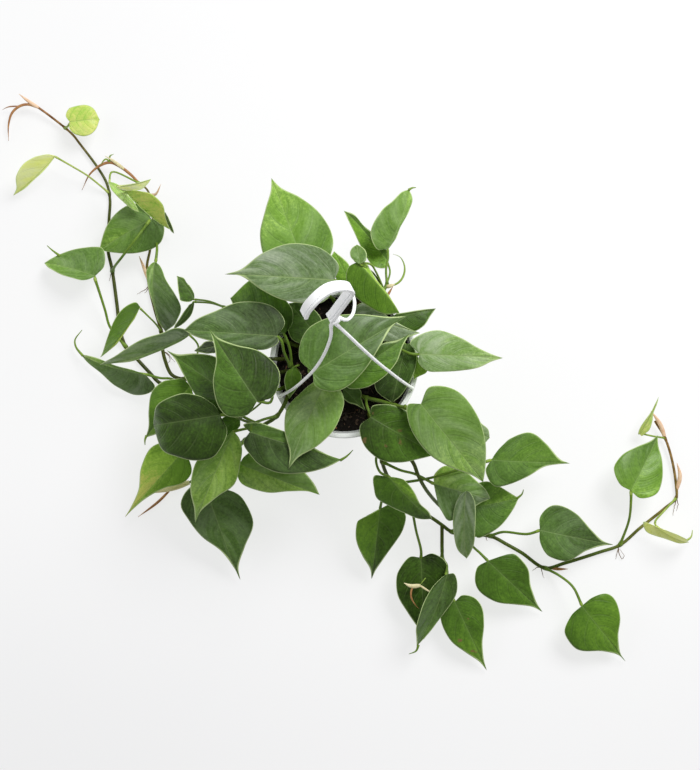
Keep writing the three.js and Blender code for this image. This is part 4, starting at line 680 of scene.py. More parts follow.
class Form:
    """Vertices and faces gathered for one mesh. Each face has a finish, and up to seven numbers
    that its material reads as attributes, in the order of MARK_WORDS. Leaf faces carry places on
    the blade as two UV maps."""

    def __init__(self):
        self.points = []
        self.faces = []
        self.finishes = []
        self.marks = []
        self.blade = []
        self.flat = []

    def point(self, place):
        self.points.append(tuple(place))
        return len(self.points) - 1

    def face(self, corners, finish, marks=(0.5,), blade=None, flat=None):
        self.faces.append(corners)
        self.finishes.append(finish)
        self.marks.append(marks)
        self.blade.append(blade or [(0.0, 0.0)] * len(corners))
        self.flat.append(flat or [(0.0, 0.0)] * len(corners))

    def ring_strip(self, rings, finish, marks=(0.5,)):
        """Joins rings of points into a skin and fills its two ends. marks may be a function of the
        share of the way from the first ring to the last."""
        shade = marks if callable(marks) else lambda share: marks
        sides = len(rings[0])
        for i, (near, far) in enumerate(zip(rings, rings[1:])):
            here = shade((i + 0.5) / (len(rings) - 1))
            for k in range(sides):
                n = (k + 1) % sides
                self.face((near[k], near[n], far[n], far[k]), finish, here)
        self.face(tuple(reversed(rings[0])), finish, shade(0.0))
        self.face(tuple(rings[-1]), finish, shade(1.0))

    def built(self, name, finishes, nodes, shade=True):
        """Makes the mesh object, rides it on the part and lets it stand for CAD nodes."""
        mesh = bpy.data.meshes.new(name)
        mesh.from_pydata(self.points, [], self.faces)
        for finish in finishes:
            mesh.materials.append(MATERIALS[finish])
        order = {finish: i for i, finish in enumerate(finishes)}
        mesh.polygons.foreach_set("material_index", [order[f] for f in self.finishes])
        mesh.polygons.foreach_set("use_smooth", [shade] * len(self.faces))
        for index, word in enumerate(MARK_WORDS):
            layer = mesh.attributes.new(word, "FLOAT", "FACE")
            layer.data.foreach_set("value", [(*marks, *NO_MARKS)[index] for marks in self.marks])
        for word, rows in (("blade", self.blade), ("flat", self.flat)):
            layer = mesh.uv_layers.new(name=word)
            layer.data.foreach_set("uv", [c for row in rows for uv in row for c in uv])
        mesh.update()
        mesh.validate()
        piece = bpy.data.objects.new(name, mesh)
        bpy.context.scene.collection.objects.link(piece)
        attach(piece, BODY)
        if nodes:
            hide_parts(*nodes)
        return piece


def tube(form, route, radius, sides, finish, marks=(0.5,), flat=1.0):
    """A round stalk along a route. radius is a function of the share of the way along, and marks
    may be one too. A flat below 1 squeezes the section across the route's sideways direction."""
    rings = []
    side = None
    for i, centre in enumerate(route):
        ahead = route[min(i + 1, len(route) - 1)] - route[max(i - 1, 0)]
        ahead.normalize()
        if side is None:
            side = ahead.cross(Vector((0, 0, 1)))
            if side.length < 0.05:
                side = ahead.cross(Vector((0, 1, 0)))
        side = (side - ahead * side.dot(ahead)).normalized()
        other = ahead.cross(side)
        size = radius(i / (len(route) - 1))
        ring = []
        for angle in around(sides):
            out = side * math.cos(angle) + other * (flat * math.sin(angle))
            ring.append(form.point(centre + out * size))
        rings.append(ring)
    form.ring_strip(rings, finish, marks)


# Materials
class Value:
    """A shader socket that takes part in sums written as Python expressions."""

    def __init__(self, tree, socket):
        self.tree = tree
        self.socket = socket

    def _math(self, operation, first, second=None):
        node = self.tree.nodes.new("ShaderNodeMath")
        node.operation = operation
        for slot, entry in zip(node.inputs, (first, second)):
            if isinstance(entry, Value):
                self.tree.links.new(entry.socket, slot)
            elif entry is not None:
                slot.default_value = entry
        return Value(self.tree, node.outputs[0])

    def __add__(self, other):
        return self._math("ADD", self, other)

    def __radd__(self, other):
        return self._math("ADD", other, self)

    def __sub__(self, other):
        return self._math("SUBTRACT", self, other)

    def __rsub__(self, other):
        return self._math("SUBTRACT", other, self)

    def __mul__(self, other):
        return self._math("MULTIPLY", self, other)

    def __rmul__(self, other):
        return self._math("MULTIPLY", other, self)

    def __truediv__(self, other):
        return self._math("DIVIDE", self, other)

    def __pow__(self, other):
        return self._math("POWER", self, other)

    def size(self):
        return self._math("ABSOLUTE", self)

    def swing(self, scale):
        return self._math("PINGPONG", self, scale)

    def sway(self, amount):
        """How far a noise is from its middle, times an amount."""
        return (self - 0.5) * amount

    def larger(self, other):
        return self._math("MAXIMUM", self, other)

    def step(self, low, high):
        """0 at low, 1 at high, smooth between them. low may be the larger."""
        node = self.tree.nodes.new("ShaderNodeMapRange")
        node.interpolation_type = "SMOOTHSTEP"
        turned = low > high
        self.tree.links.new(self.socket, node.inputs["Value"])
        node.inputs["From Min"].default_value = min(low, high)
        node.inputs["From Max"].default_value = max(low, high)
        node.inputs["To Min"].default_value = 1.0 if turned else 0.0
        node.inputs["To Max"].default_value = 0.0 if turned else 1.0
        return Value(self.tree, node.outputs["Result"])


class Finish:
    """One material with its nodes. node() adds any node; the rest are short names for some."""

    def __init__(self, name):
        self.material = bpy.data.materials.new(name)
        self.material.use_nodes = True
        self.tree = self.material.node_tree
        self.tree.nodes.clear()
        out = self.tree.nodes.new("ShaderNodeOutputMaterial")
        self.shader = self.tree.nodes.new("ShaderNodeBsdfPrincipled")
        self.tree.links.new(self.shader.outputs["BSDF"], out.inputs["Surface"])

    def node(self, kind, settings=None, values=None, output=0):
        made = self.tree.nodes.new(kind)
        for key, entry in (settings or {}).items():
            if key == "stops":
                ramp = made.color_ramp
                while len(ramp.elements) < len(entry):
                    ramp.elements.new(0.5)
                for element, (place, shade) in zip(ramp.elements, entry):
                    element.position = place
                    element.color = (*shade, 1.0)
            else:
                setattr(made, key, entry)
        for key, entry in (values or {}).items():
            slot = made.inputs[key]
            if isinstance(entry, Value):
                self.tree.links.new(entry.socket, slot)
            elif slot.type == "RGBA" and len(entry) == 3:
                slot.default_value = (*entry, 1.0)
            else:
                slot.default_value = entry
        return Value(self.tree, made.outputs[output])

    def place(self):
        return self.node("ShaderNodeTexCoord", output="Object")

    def mark(self, word):
        return self.node("ShaderNodeAttribute", {"attribute_name": word}, output="Fac")

    def uv(self, word):
        pair = self.node("ShaderNodeUVMap", {"uv_map": word})
        return [self.node("ShaderNodeSeparateXYZ", values={0: pair}, output=k) for k in (0, 1)]

    def noise(self, scale, detail=3.0, where=None, rough=0.5):
        values = {"Scale": scale, "Detail": detail, "Roughness": rough}
        values["Vector"] = where or self.place()
        return self.node("ShaderNodeTexNoise", values=values, output="Fac")

    def mix(self, share, first, second):
        values = {0: share, 6: first, 7: second}
        return self.node("ShaderNodeMix", {"data_type": "RGBA"}, values, output=2)

    def ramp(self, value, stops):
        return self.node("ShaderNodeValToRGB", {"stops": stops}, {"Fac": value}, output="Color")

    def bump(self, height, distance, strength=1.0):
        return self.node("ShaderNodeBump",
                         values={"Height": height, "Distance": distance, "Strength": strength})

    def done(self, **inputs):
        """Sets the shader's own sockets, given by name with _ for a space."""
        for key, entry in inputs.items():
            slot = self.shader.inputs[key.replace("_", " ")]
            if isinstance(entry, Value):
                self.tree.links.new(entry.socket, slot)
            elif slot.type == "RGBA":
                slot.default_value = (*entry, 1.0)
            else:
                slot.default_value = entry
        return self.material


MATERIALS = {}
SIDE_VEINS = 7.0
VEIN_BEND = 1.1
FINE_VEINS = 5.0
MIDRIB_EDGE = (0.9 * MM, 0.3 * MM)
MIDRIB_HALO = (5.0 * MM, 0.5 * MM)
RIM_EDGE = (1.0 * MM, 0.3 * MM)
# Tones over which a blade gains its painted glow, which stands for light coming through it
PAINTED_GLOW_TONES = (0.95, 1.15)

# Colours, as stops along a ramp where there are several
# A blade's underside by tone; its palest stops are painted light, made bright to make up for shade
# on the youngest leaves
UNDERSIDE = [(0.0, (0.12, 0.19, 0.07)), (0.5, (0.22, 0.36, 0.09)), (0.8, (0.48, 0.72, 0.17)),
             (1.0, (0.92, 1.0, 0.48))]
LEAF_SPOT = (0.20, 0.11, 0.05)
STALK_AGES = [(0.0, (0.018, 0.030, 0.007)), (0.3, (0.070, 0.085, 0.010)),
              (0.5, (0.085, 0.145, 0.016)), (0.68, (0.12, 0.21, 0.022)),
              (0.85, (0.22, 0.33, 0.045)), (1.0, (0.46, 0.54, 0.15))]
DRY_STALK = [(0.35, (0.16, 0.055, 0.012)), (0.65, (0.46, 0.24, 0.10))]
STALK_FLECK = (0.24, 0.25, 0.08)
ROOT_BARK = [(0.3, (0.10, 0.055, 0.028)), (0.7, (0.27, 0.17, 0.09))]
SCUFF = (0.55, 0.52, 0.47)
SOIL_GRIT = (0.060, 0.034, 0.020)
RUSTY_CHIP = (0.30, 0.115, 0.035)
SHEATHS = {
    "pale": ("pale_sheath", (0.54, 0.47, 0.22), (0.78, 0.70, 0.46)),
    "pink": ("pink_sheath", (0.68, 0.40, 0.22), (0.86, 0.66, 0.48)),
    "rust": ("dry_tip", (0.24, 0.085, 0.025), (0.52, 0.27, 0.10)),
}
# The floor's glow, full and dimmed by a painted shade towards the lower left
FLOOR_LIGHT = (1.0, 1.0, 1.0)
FLOOR_DUSK = (0.86, 0.86, 0.865)


def leaf_finish(plant):
    """The blade: green by age, mottled and streaked along its veins, with a painted sheen that
    silvers it in streaks, painted light and shade across and along it, a painted glow on the
    youngest blades, faint arched side veins, a thin pale midrib and edge, and a matter
    underside."""
    f = Finish("leaf_blade")
    along, reach = f.uv("blade")
    across, _ = f.uv("flat")
    tone, under, seed, worn, bloom, lean, fade = [f.mark(word) for word in MARK_WORDS]
    phase = along * SIDE_VEINS - (reach ** 1.7) * VEIN_BEND
    half = across.step(-0.0001, 0.0001)
    lane = f.node("ShaderNodeCombineXYZ",
                  values={0: phase, 1: reach * 0.8 + half * 9.0, 2: seed * 30.0})
    streak = f.noise(1.1, 2.0, where=lane, rough=0.45)
    stripe = f.noise(7.0, 4.0, where=lane, rough=0.65)
    cloud = f.noise(17.0, 2.0, rough=0.4)
    blotch = f.noise(55.0, 4.0, rough=0.6)
    speck = f.noise(330.0, 4.0, rough=0.75)

    body = reach.step(0.0, 0.12) * reach.step(1.0, 0.72)
    side_vein = phase.swing(0.5).step(0.07, 0.01) * body
    vein_shade = (phase - 0.06).swing(0.5).step(0.10, 0.02) * body
    fine_vein = (phase * FINE_VEINS).swing(0.5).step(0.30, 0.05) * body
    midrib = across.size().step(*MIDRIB_EDGE)
    halo = across.size().step(*MIDRIB_HALO)
    to_edge = (1.0 - reach) * across.size() / reach.larger(0.05)
    rim = to_edge.step(*RIM_EDGE) * reach.step(0.5, 0.8)

    varied = cloud.sway(0.60) + blotch.sway(0.30) + streak.sway(0.40)
    varied = varied + stripe.sway(0.20) + speck.sway(0.75)
    lit = tone + varied * (1.05 - tone * 0.75)
    # Painted light and shade: lean brightens one half, fade the tip, and vein_shade darkens the
    # blade beside each side vein as a painted shade
    lit = lit + half.sway(lean) * 2.0 + (along - 0.45) * fade - vein_shade * 0.04
    base = f.ramp(lit, [(0.0, plant.dark), (0.25, plant.deep), (0.5, plant.middle),
                        (0.75, plant.bright), (0.9, plant.fresh), (1.0, plant.young)])
    # Painted sheen: the pale sheen colour, standing for reflected light, is mixed in by sheen in
    # streaks
    gloss = streak.step(0.42, 0.72) * 0.9 + stripe.sway(1.3) + speck.sway(1.0)
    base = f.mix(bloom * (0.5 + gloss), base, plant.sheen_colour)
    strength = f.noise(48.0, 2.0).step(0.35, 0.70) * (bloom * 0.5 + 0.12)
    veins = side_vein * strength + fine_vein * 0.02 + halo * 0.06
    base = f.mix(veins.larger(midrib * (bloom * 1.5 + 0.22)), base, plant.vein)
    worn_rim = f.noise(40.0, 2.0).step(0.3, 0.7) * 0.35 + 0.65
    base = f.mix(rim * worn_rim, base, plant.rim)
    below = f.ramp(lit, UNDERSIDE)
    below = f.mix((midrib + side_vein * 0.5) * 0.4, below, plant.rim)
    base = f.mix(under, base, below)
    spots = f.noise(80.0, 3.0).step(0.66, 0.71) * worn
    base = f.mix(spots, base, LEAF_SPOT)

    height = speck * 0.5 + stripe * 0.6 - side_vein * 0.6 - fine_vein * 0.3 - midrib * 0.8
    rough = 0.38 + blotch.sway(0.14) + stripe.sway(0.12) + under * 0.22 + spots * 0.2
    # Painted glow: emission that stands for light coming through the youngest blades
    painted_glow = f.mix(tone.step(*PAINTED_GLOW_TONES) * 0.30, (0.0, 0.0, 0.0), base)
    return f.done(Base_Color=base, Roughness=rough, Normal=f.bump(height, 0.4 * MM, 0.6),
                  Emission_Color=painted_glow, Emission_Strength=1.0,
                  Coat_Weight=(bloom + 0.15) * streak.step(0.35, 0.7),
                  Coat_Roughness=0.26, Specular_IOR_Level=0.12)


def stalk_finish():
    """Stems and petioles: nearly black where old, green where young and tan where they dry,
    streaked along and flecked."""
    f = Finish("stalk")
    streak = f.noise(140.0, 4.0)
    fleck = f.noise(900.0, 2.0)
    base = f.ramp(f.mark("tone") + streak.sway(0.30), STALK_AGES)
    base = f.mix(f.mark("worn"), base, f.ramp(streak, DRY_STALK))
    base = f.mix(fleck.step(0.60, 0.72) * 0.4, base, STALK_FLECK)
    return f.done(Base_Color=base, Roughness=0.42 + fleck.sway(0.2),
                  Normal=f.bump(streak + fleck * 0.4, 0.4 * MM, 0.5), Specular_IOR_Level=0.2)


def sheath_finish(name, low, high):
    """A papery sheath or dry tip, streaked between two colours."""
    f = Finish(name)
    streak = f.noise(160.0, 5.0, rough=0.6)
    return f.done(Base_Color=f.ramp(streak, [(0.3, low), (0.72, high)]),
                  Roughness=0.6 + streak.sway(0.2), Normal=f.bump(streak, 0.5 * MM, 0.6))


def root_finish():
    """The dry, corky skin of an aerial root."""
    f = Finish("aerial_root")
    grain = f.noise(700.0, 3.0)
    return f.done(Base_Color=f.ramp(grain, ROOT_BARK), Roughness=0.8 + grain.sway(0.1),
                  Normal=f.bump(grain, 0.3 * MM, 0.6))


def plastic_finish(name, shade, rough):
    """Moulded white plastic: faint mould texture, with a little dust and scuffing."""
    f = Finish(name)
    grain = f.noise(1600.0, 2.0)
    cloud = f.noise(30.0, 4.0)
    scuff = f.noise(220.0, 5.0, rough=0.7).step(0.60, 0.72)
    base = f.mix(cloud.step(0.35, 0.75) * 0.5, shade, tuple(c * 0.90 for c in shade))
    base = f.mix(scuff * 0.12, base, SCUFF)
    return f.done(Base_Color=base, Roughness=rough + scuff * 0.15 + cloud.sway(0.08),
                  Normal=f.bump(grain, 0.05 * MM, 0.4), Subsurface_Weight=0.1,
                  Subsurface_Radius=(4 * MM, 4 * MM, 4 * MM), Subsurface_Scale=1.0)


def soil_finish(soil):
    """Damp dark peat with paler grit."""
    f = Finish("peat")
    crumb = f.noise(260.0, 6.0, rough=0.65)
    damp = f.noise(28.0, 3.0)
    crumbly = tuple(2.5 * c for c in soil.peat)
    base = f.ramp(crumb, [(0.42, soil.peat), (0.66, crumbly), (0.82, SOIL_GRIT)])
    return f.done(Base_Color=base, Roughness=0.78 - damp.step(0.5, 0.8) * 0.22,
                  Specular_IOR_Level=0.12, Normal=f.bump(crumb, 2 * MM, 0.9))


def chip_finish(soil):
    """Bark chips and fibres, from nearly black to a few rusty ones."""
    f = Finish("bark_chip")
    grain = f.noise(480.0, 5.0, rough=0.6)
    dark = tuple(0.25 * c for c in soil.bark)
    base = f.ramp(f.mark("tone") + grain.sway(0.5),
                  [(0.1, dark), (0.6, soil.bark), (0.92, soil.bark), (1.0, RUSTY_CHIP)])
    return f.done(Base_Color=base, Roughness=0.75 + grain.sway(0.2),
                  Normal=f.bump(grain, 0.6 * MM, 0.8))


def floor_finish(stage):
    """The pale floor, which glows a little less towards the lower left, as a painted shade."""
    f = Finish("pale_floor")
    cloud = f.noise(2.0, 2.0)
    base = f.mix(cloud * 0.5, stage.floor, tuple(c * 0.985 for c in stage.floor))
    x, y = [f.node("ShaderNodeSeparateXYZ", values={0: f.place()}, output=k) for k in (0, 1)]
    dusk = x.step(0.30, -0.42) * 0.42 + y.step(-0.08, -0.45) * 0.58
    return f.done(Base_Color=base, Roughness=0.9, Emission_Strength=stage.glow,
                  Emission_Color=f.mix(dusk, FLOOR_LIGHT, FLOOR_DUSK))


# The pot
def outer_radius(pot, z):
    flare = pot.mouth_radius + pot.wall - pot.base_radius
    return pot.base_radius + flare * z / (pot.height - LIP_HEIGHT)


def arc(centre, radius, start, end, steps):
    """Points of an arc in a turned profile, between two angles in degrees."""
    out = []
    for i in range(steps + 1):
        angle = math.radians(start + (end - start) * i / steps)
        out.append((centre[0] + radius * math.cos(angle), centre[1] + radius * math.sin(angle)))
    return out


def turned(form, profile, segments, finish):
    """A skin turned about the pot's axis from a profile that starts and ends on it."""
    rings = [level_ring(form, radius, segments, lambda x, y, z=z: z)
             for radius, z in profile[1:-1]]
    form.ring_strip(rings, finish)


def on_clip_circle(name, z):
    angle = math.radians(CLIP_ANGLES[name])
    return Vector((CLIP_CIRCLE * math.cos(angle), CLIP_CIRCLE * math.sin(angle), z))


def slab(form, outline, thickness, name, finish):
    """A flat piece standing at a clip's place. Its outline runs along the rim and up from it."""
    angle = math.radians(CLIP_ANGLES[name] + 90)
    along = Vector((math.cos(angle), math.sin(angle), 0))
    out = Vector((math.sin(angle), -math.cos(angle), 0))
    centre = on_clip_circle(name, POT_HEIGHT)
    rings = [[form.point(centre + along * x + Vector((0, 0, z)) + out * offset)
              for x, z in outline] for offset in (thickness / 2, -thickness / 2)]
    form.ring_strip(rings, finish)


def cut(piece, cutter):
    """Cuts one closed mesh from another and drops the cutter."""
    bpy.context.scene.collection.objects.link(cutter)
    modifier = piece.modifiers.new("cut", "BOOLEAN")
    modifier.operation = "DIFFERENCE"
    modifier.solver = "EXACT"
    modifier.object = cutter
    applied(piece)
    bpy.data.objects.remove(cutter)


def applied(piece):
    """Replaces an object's mesh by the mesh that its modifiers make."""
    bpy.context.view_layer.update()
    graph = bpy.context.evaluated_depsgraph_get()
    mesh = bpy.data.meshes.new_from_object(piece.evaluated_get(graph))
    piece.modifiers.clear()
    piece.data = mesh


def make_pot(pot):
    """The moulded pot, turned from one profile that climbs its outside, rolls over the lip and
    goes down its inside, then cut by its drain holes and hanger slots."""
    lip = pot.height - LIP_HEIGHT
    fall = lip - FLOOR_THICKNESS - FOOT
    climb = [FOOT + (lip - 3 * MM) * i / WALL_STEPS for i in range(WALL_STEPS + 1)]
    descent = [lip - fall * i / WALL_STEPS for i in range(WALL_STEPS + 1)]
    profile = [(0, 0), (AXIS_RING, 0), (pot.base_radius - 2 * FOOT, 0)]
    profile += arc((pot.base_radius - EDGE_ROUND, EDGE_ROUND), EDGE_ROUND, -90, -10, 4)
    profile += [(outer_radius(pot, z), z) for z in climb]
    profile += [(outer_radius(pot, lip) + EDGE_ROUND, lip)]
    profile += arc((pot.rim_radius - EDGE_ROUND, lip + EDGE_ROUND), EDGE_ROUND, -90, 0, 4)
    profile += arc((pot.rim_radius - LIP_ROLL, pot.height - LIP_ROLL), LIP_ROLL, 0, 90, 8)
    profile += arc((pot.mouth_radius + EDGE_ROUND, pot.height - EDGE_ROUND), EDGE_ROUND, 90, 180,
                   4)
    profile += [(pot.mouth_radius + 0.1 * MM, lip + FOOT)]
    profile += [(outer_radius(pot, z) - pot.wall, z) for z in descent]
    profile += [(outer_radius(pot, FLOOR_THICKNESS) - pot.wall - FOOT, FLOOR_THICKNESS)]
    profile += [(AXIS_RING, FLOOR_THICKNESS), (0, FLOOR_THICKNESS)]
    form = Form()
    turned(form, profile, pot.segments, "pot")
    piece = form.built("white_pot", ["pot"], ["pot"])
    cutter = Form()
    through = Vector((0, 0, 4 * MM + FLOOR_THICKNESS))
    for angle in around(DRAIN_COUNT):
        centre = Vector((DRAIN_CIRCLE * math.cos(angle), DRAIN_CIRCLE * math.sin(angle), -MM))
        tube(cutter, [centre, centre + through], lambda share: DRAIN_RADIUS, SIDES["drain"], "pot")
    half = SLOT[1] / 2
    for name in CLIP_ANGLES:
        slab(cutter, [(-half, -SLOT_REACH), (half, -SLOT_REACH), (half, SLOT_REACH),
                      (-half, SLOT_REACH)], SLOT[0], name, "pot")
    mesh = bpy.data.meshes.new("cutter")
    mesh.from_pydata(cutter.points, [], cutter.faces)
    cut(piece, bpy.data.objects.new("cutter", mesh))
    for polygon in piece.data.polygons:
        polygon.use_smooth = True
    sharpen(piece, CREASE["pot"])


def sharpen(piece, degrees):
    """Marks edges sharp where faces meet at more than an angle."""
    piece.data.set_sharp_from_angle(angle=math.radians(degrees))


# The soil
def inner_radius(pot, z):
    return outer_radius(pot, z) - pot.wall


def soil_height(soil, x, y, edge):
    share = min(1.0, math.hypot(x, y) / edge)
    start, calmed = CALM_EDGE
    rough = sum(high * noise.noise(Vector((x, y, layer)) * fine) for layer, fine, high in LUMPS)
    lumps = soil.clod * rough * (1 - calmed * eased(start, 1.0, share))
    return SOIL_EDGE_HEIGHT + soil.mound * (1 - share * share) + lumps


def add_chip(form, soil, edge, draw):
    """A loose chip of bark that lies on the soil."""
    reach = edge * CHIP_SPREAD * math.sqrt(draw.random())
    angle = draw.uniform(0, 2 * math.pi)
    x, y = reach * math.cos(angle), reach * math.sin(angle)
    size = soil.chip_size * draw.uniform(*CHIP_SIZES)
    centre = Vector((x, y, soil_height(soil, x, y, edge) + size * CHIP_LIFT))
    way = Vector([draw.uniform(-lean, lean) for lean in (1, 1, CHIP_LEAN)]).normalized()
    thick = size * draw.uniform(*CHIP_THICKNESS)
    swell = [draw.uniform(*CHIP_SWELL) for _ in CHIP_ROUTE]
    route = [centre + way * (size * (share - 0.5)) for share in CHIP_ROUTE]
    tone = draw.random() ** 1.6

    def radius(share):
        return thick * swell[round(3 * share)] * (CHIP_END if share in (0, 1) else 1)

    tube(form, route, radius, SIDES["chip"], "bark_chip", (tone, 0.0, draw.random(), 0.0),
         flat=draw.uniform(*CHIP_FLATNESS))


def add_fibre(form, soil, edge, draw):
    """A thin fibre that wanders over the soil."""
    reach = edge * FIBRE_SPREAD * math.sqrt(draw.random())
    angle = draw.uniform(0, 2 * math.pi)
    at = Vector((reach * math.cos(angle), reach * math.sin(angle), 0))
    heading = draw.uniform(0, 2 * math.pi)
    route = []
    for _ in range(FIBRE_STEPS):
        heading += draw.uniform(-FIBRE_TURN, FIBRE_TURN)
        at = at + Vector((math.cos(heading), math.sin(heading), 0)) * FIBRE_STRIDE_MM * MM
        if at.length > edge * FIBRE_LIMIT:
            break
        lift = draw.uniform(*FIBRE_LIFT) * MM
        route.append(Vector((at.x, at.y, soil_height(soil, at.x, at.y, edge) + lift)))
    if len(route) > 2:
        tube(form, route, lambda share: FIBRE_RADIUS * (1.1 - 0.6 * share), SIDES["fibre"],
             "bark_chip", (draw.uniform(*FIBRE_TONES), 0.0, 0.0, 0.0))


def make_soil(pot, soil):
    """The soil's body with its lumpy top, then the loose chips and fibres on it."""
    edge = inner_radius(pot, SOIL_EDGE_HEIGHT) - GAP
    low = FLOOR_THICKNESS + GAP
    form = Form()
    rings = [level_ring(form, radius, pot.segments, lambda x, y, z=z: z) for radius, z in
             ((inner_radius(pot, low) - 2 * GAP, low), (edge - 0.5 * MM, SOIL_EDGE_HEIGHT - FOOT))]
    for i in range(SOIL_RINGS):
        rings.append(level_ring(form, edge * (1 - i / SOIL_RINGS), pot.segments,
                                lambda x, y: soil_height(soil, x, y, edge)))
    form.ring_strip(rings, "peat")
    form.built("potting_soil", ["peat"], ["soil"])

    draw = random.Random(CHIP_SEED)
    loose = Form()
    for _ in range(soil.chips):
        add_chip(loose, soil, edge, draw)
    for _ in range(FIBRES):
        add_fibre(loose, soil, edge, draw)
    loose.built("bark_chips", ["bark_chip"], [], shade=False)


# The hanger
def make_strand(hanger, name):
    """A strand from the hub to the pot's lip, with the tongue and barb that clip it there."""
    form = Form()
    top = on_clip_circle(name, POT_HEIGHT + TONGUE_RISE)
    route = smooth([seen(p) for p in STRAND_ROUTES[name]] + [top], STRIDE["strand"])

    def radius(share):
        foot = STRAND_FOOT[0] * eased(STRAND_FOOT[1], 1.0, share)
        head = STRAND_HEAD[0] * eased(STRAND_HEAD[1], 0.0, share)
        return hanger.strand_radius * (1 + foot + head)

    tube(form, route, radius, SIDES["strand"], "hanger_plastic")
    half = TONGUE[1] / 2
    wide = BARB_ALONG / 2
    under = -LIP_HEIGHT - GAP
    inset, drop = BARB_SLOPE
    outline = [
        (-half, under), (-wide, under), (-wide + inset, under - drop),
        (-BARB_POINT, under - BARB_DROP), (BARB_POINT, under - BARB_DROP),
        (wide - inset, under - drop), (wide, under), (half, under), (half, TONGUE_TOP),
        (-half, TONGUE_TOP),
    ]
    slab(form, outline, TONGUE[0], name, "hanger_plastic")
    piece = form.built(f"hanger_{name}", ["hanger_plastic"], [name])
    sharpen(piece, CREASE["strand"])


def add_strap(form, hanger, normal):
    """The hook's flat strap, with a groove beside one edge of each face."""
    width = hanger.strap_width / 2
    thick = HOOK_SECTION[1] / 2
    near, far, depth = HOOK_GROOVES
    face = [(HOOK_BEVEL - width, thick), (near, thick), (near + GROOVE_SLOPE, thick - depth),
            (far - GROOVE_SLOPE, thick - depth), (far, thick), (width - HOOK_BEVEL, thick),
            (width, thick - HOOK_BEVEL)]
    section = [(x, -y) for x, y in face] + face[::-1]
    section += [(-width, thick - HOOK_BEVEL), (-width, HOOK_BEVEL - thick)]
    route = smooth([seen(p) for p in HOOK_ROUTE], STRIDE["hook"])
    rings = []
    for i, centre in enumerate(route):
        ahead = (route[min(i + 1, len(route) - 1)] - route[max(i - 1, 0)]).normalized()
        out = normal.cross(ahead).normalized()
        rings.append([form.point(centre - normal * x + out * y) for x, y in section])
    form.ring_strip(rings, "hanger_plastic")


def add_hub(form, normal):
    """The block with rounded corners that joins the strands to the strap."""
    low, high = -HUB_HEIGHT / 2, HUB_HEIGHT / 2
    layers = [(low, HUB_ROUND), (low + HUB_ROUND, 0.0), (high - HUB_ROUND, 0.0), (high, HUB_ROUND)]
    wide = Vector((normal.x, normal.y, 0)).normalized()
    deep = Vector((-wide.y, wide.x, 0))
    rings = []
    for z, less in layers:
        ring = []
        for angle in around(SIDES["hub"]):
            x, y = [math.copysign(abs(way) ** HUB_SQUARENESS, way) * (side - less)
                    for way, side in zip((math.cos(angle), math.sin(angle)), HUB_SIDES)]
            place = seen(HUB_CENTRE) + wide * x + deep * y + Vector((0, 0, z))
            ring.append(form.point(place))
        rings.append(ring)
    form.ring_strip(rings, "hanger_plastic")


def make_hook(hanger):
    turn = Matrix.Rotation(math.radians(HOOK_TURN), 3, "Z")
    lean = Matrix.Rotation(math.radians(90 + HOOK_LEAN), 3, "X")
    normal = turn @ lean @ Vector((0, 0, 1))
    form = Form()
    add_strap(form, hanger, normal)
    add_hub(form, normal)
    piece = form.built("hanger_hook", ["hanger_plastic"], ["hook"])
    sharpen(piece, CREASE["hook"])


# The plant. The outline of a blade's half runs from the notch at the petiole round the lobe and
# past the widths at STATIONS, shares of the length, to the tip. ROOTS says for each of its knots
# which place on the midrib it is tied to.
STATIONS = (0.2, 0.4, 0.62, 0.84)
ROOTS = (0.0, 0.0, 0.0, 0.11, 0.27, 0.46, 0.74, 1.0)
LOBE_SHARE = 0.45
BLADE_ARCH = 0.05
BLADE_WAVE = 0.05
WAVE_ALONG = 7.5
WAVE_SIDE = 2.1
TIP_SHARE = 0.28

# A blade's mesh: its steps along and across, for a large leaf and for one narrower than SMALL_LEAF
SMALL_LEAF = 22
LARGE_GRID = (54, 11)
SMALL_GRID = (34, 7)
RIPPLE_DEPTHS = (0.012, 0.045)
RIPPLE_TURNS = (1.6, 3.2)
RIPPLE_STARTS = (0, 6.3)
GUTTER_WIDTH = 1.6 * MM
EDGE_THINNING = 0.55

# A petiole and its midrib: SEATS are the places of the midrib's tube along the blade
SEATS = (0.015, 0.12, 0.3, 0.5, 0.7, 0.87)
FOOT_SWELL = 0.75
KNEE_SWELL = 0.22
RIB_SHARE = 0.75
RIB_LEAST = 0.15 * MM
PETIOLE_GREEN = (0.46, 0.40)
RIB_GREEN = 0.16
THREAD_RADIUS = 1.5 * MM
THREAD_FLATNESS = 0.7

# A stem's node: how much it swells and how far, and the narrow scar beside it
NODE_SWELL = (0.30, 2.6 * MM)
NODE_SCAR = (0.10, 4.2 * MM, 0.9 * MM)
BRANCH_SLIM = 0.8
SHOOT_FLATNESS = 0.6
ROOT_RADIUS = 0.55 * MM
ROOT_WANDER_MM = 0.35
ROOT_CLEARANCE = 0.9 * MM


def half_outline(shape, side, long, steps):
    """Evenly spaced points of one side's outline. Each is a distance from the midrib over the half
    width, a distance from the notch over the length, and a place on the midrib."""
    lobe, shoulder, *widths = [value * MM for value in shape["sides"][side]]
    back = -lobe / long
    half = shape["half"]
    knots = [(0.0, 0.0), (LOBE_SHARE * widths[0] / half, back),
             (shoulder / half, (back + STATIONS[0]) / 2)]
    knots += [(width / half, v) for width, v in zip(widths, STATIONS)] + [(0.0, 1.0)]
    fine = smooth([Vector((u, v, root)) for (u, v), root in zip(knots, ROOTS)], 0.001)
    return [fine[round(i * (len(fine) - 1) / steps)] for i in range(steps + 1)]


def blade_outlines(shape, long, steps):
    """The outlines of both sides, tied to the same places on the midrib."""
    outlines = {side: half_outline(shape, side, long, steps) for side in (-1, 1)}
    for near, far in zip(outlines[-1], outlines[1]):
        root = clamp((near.z + far.z) / 2)
        near.z = far.z = root
        near.x = max(near.x, 0.0)
        far.x = max(far.x, 0.0)
    return outlines


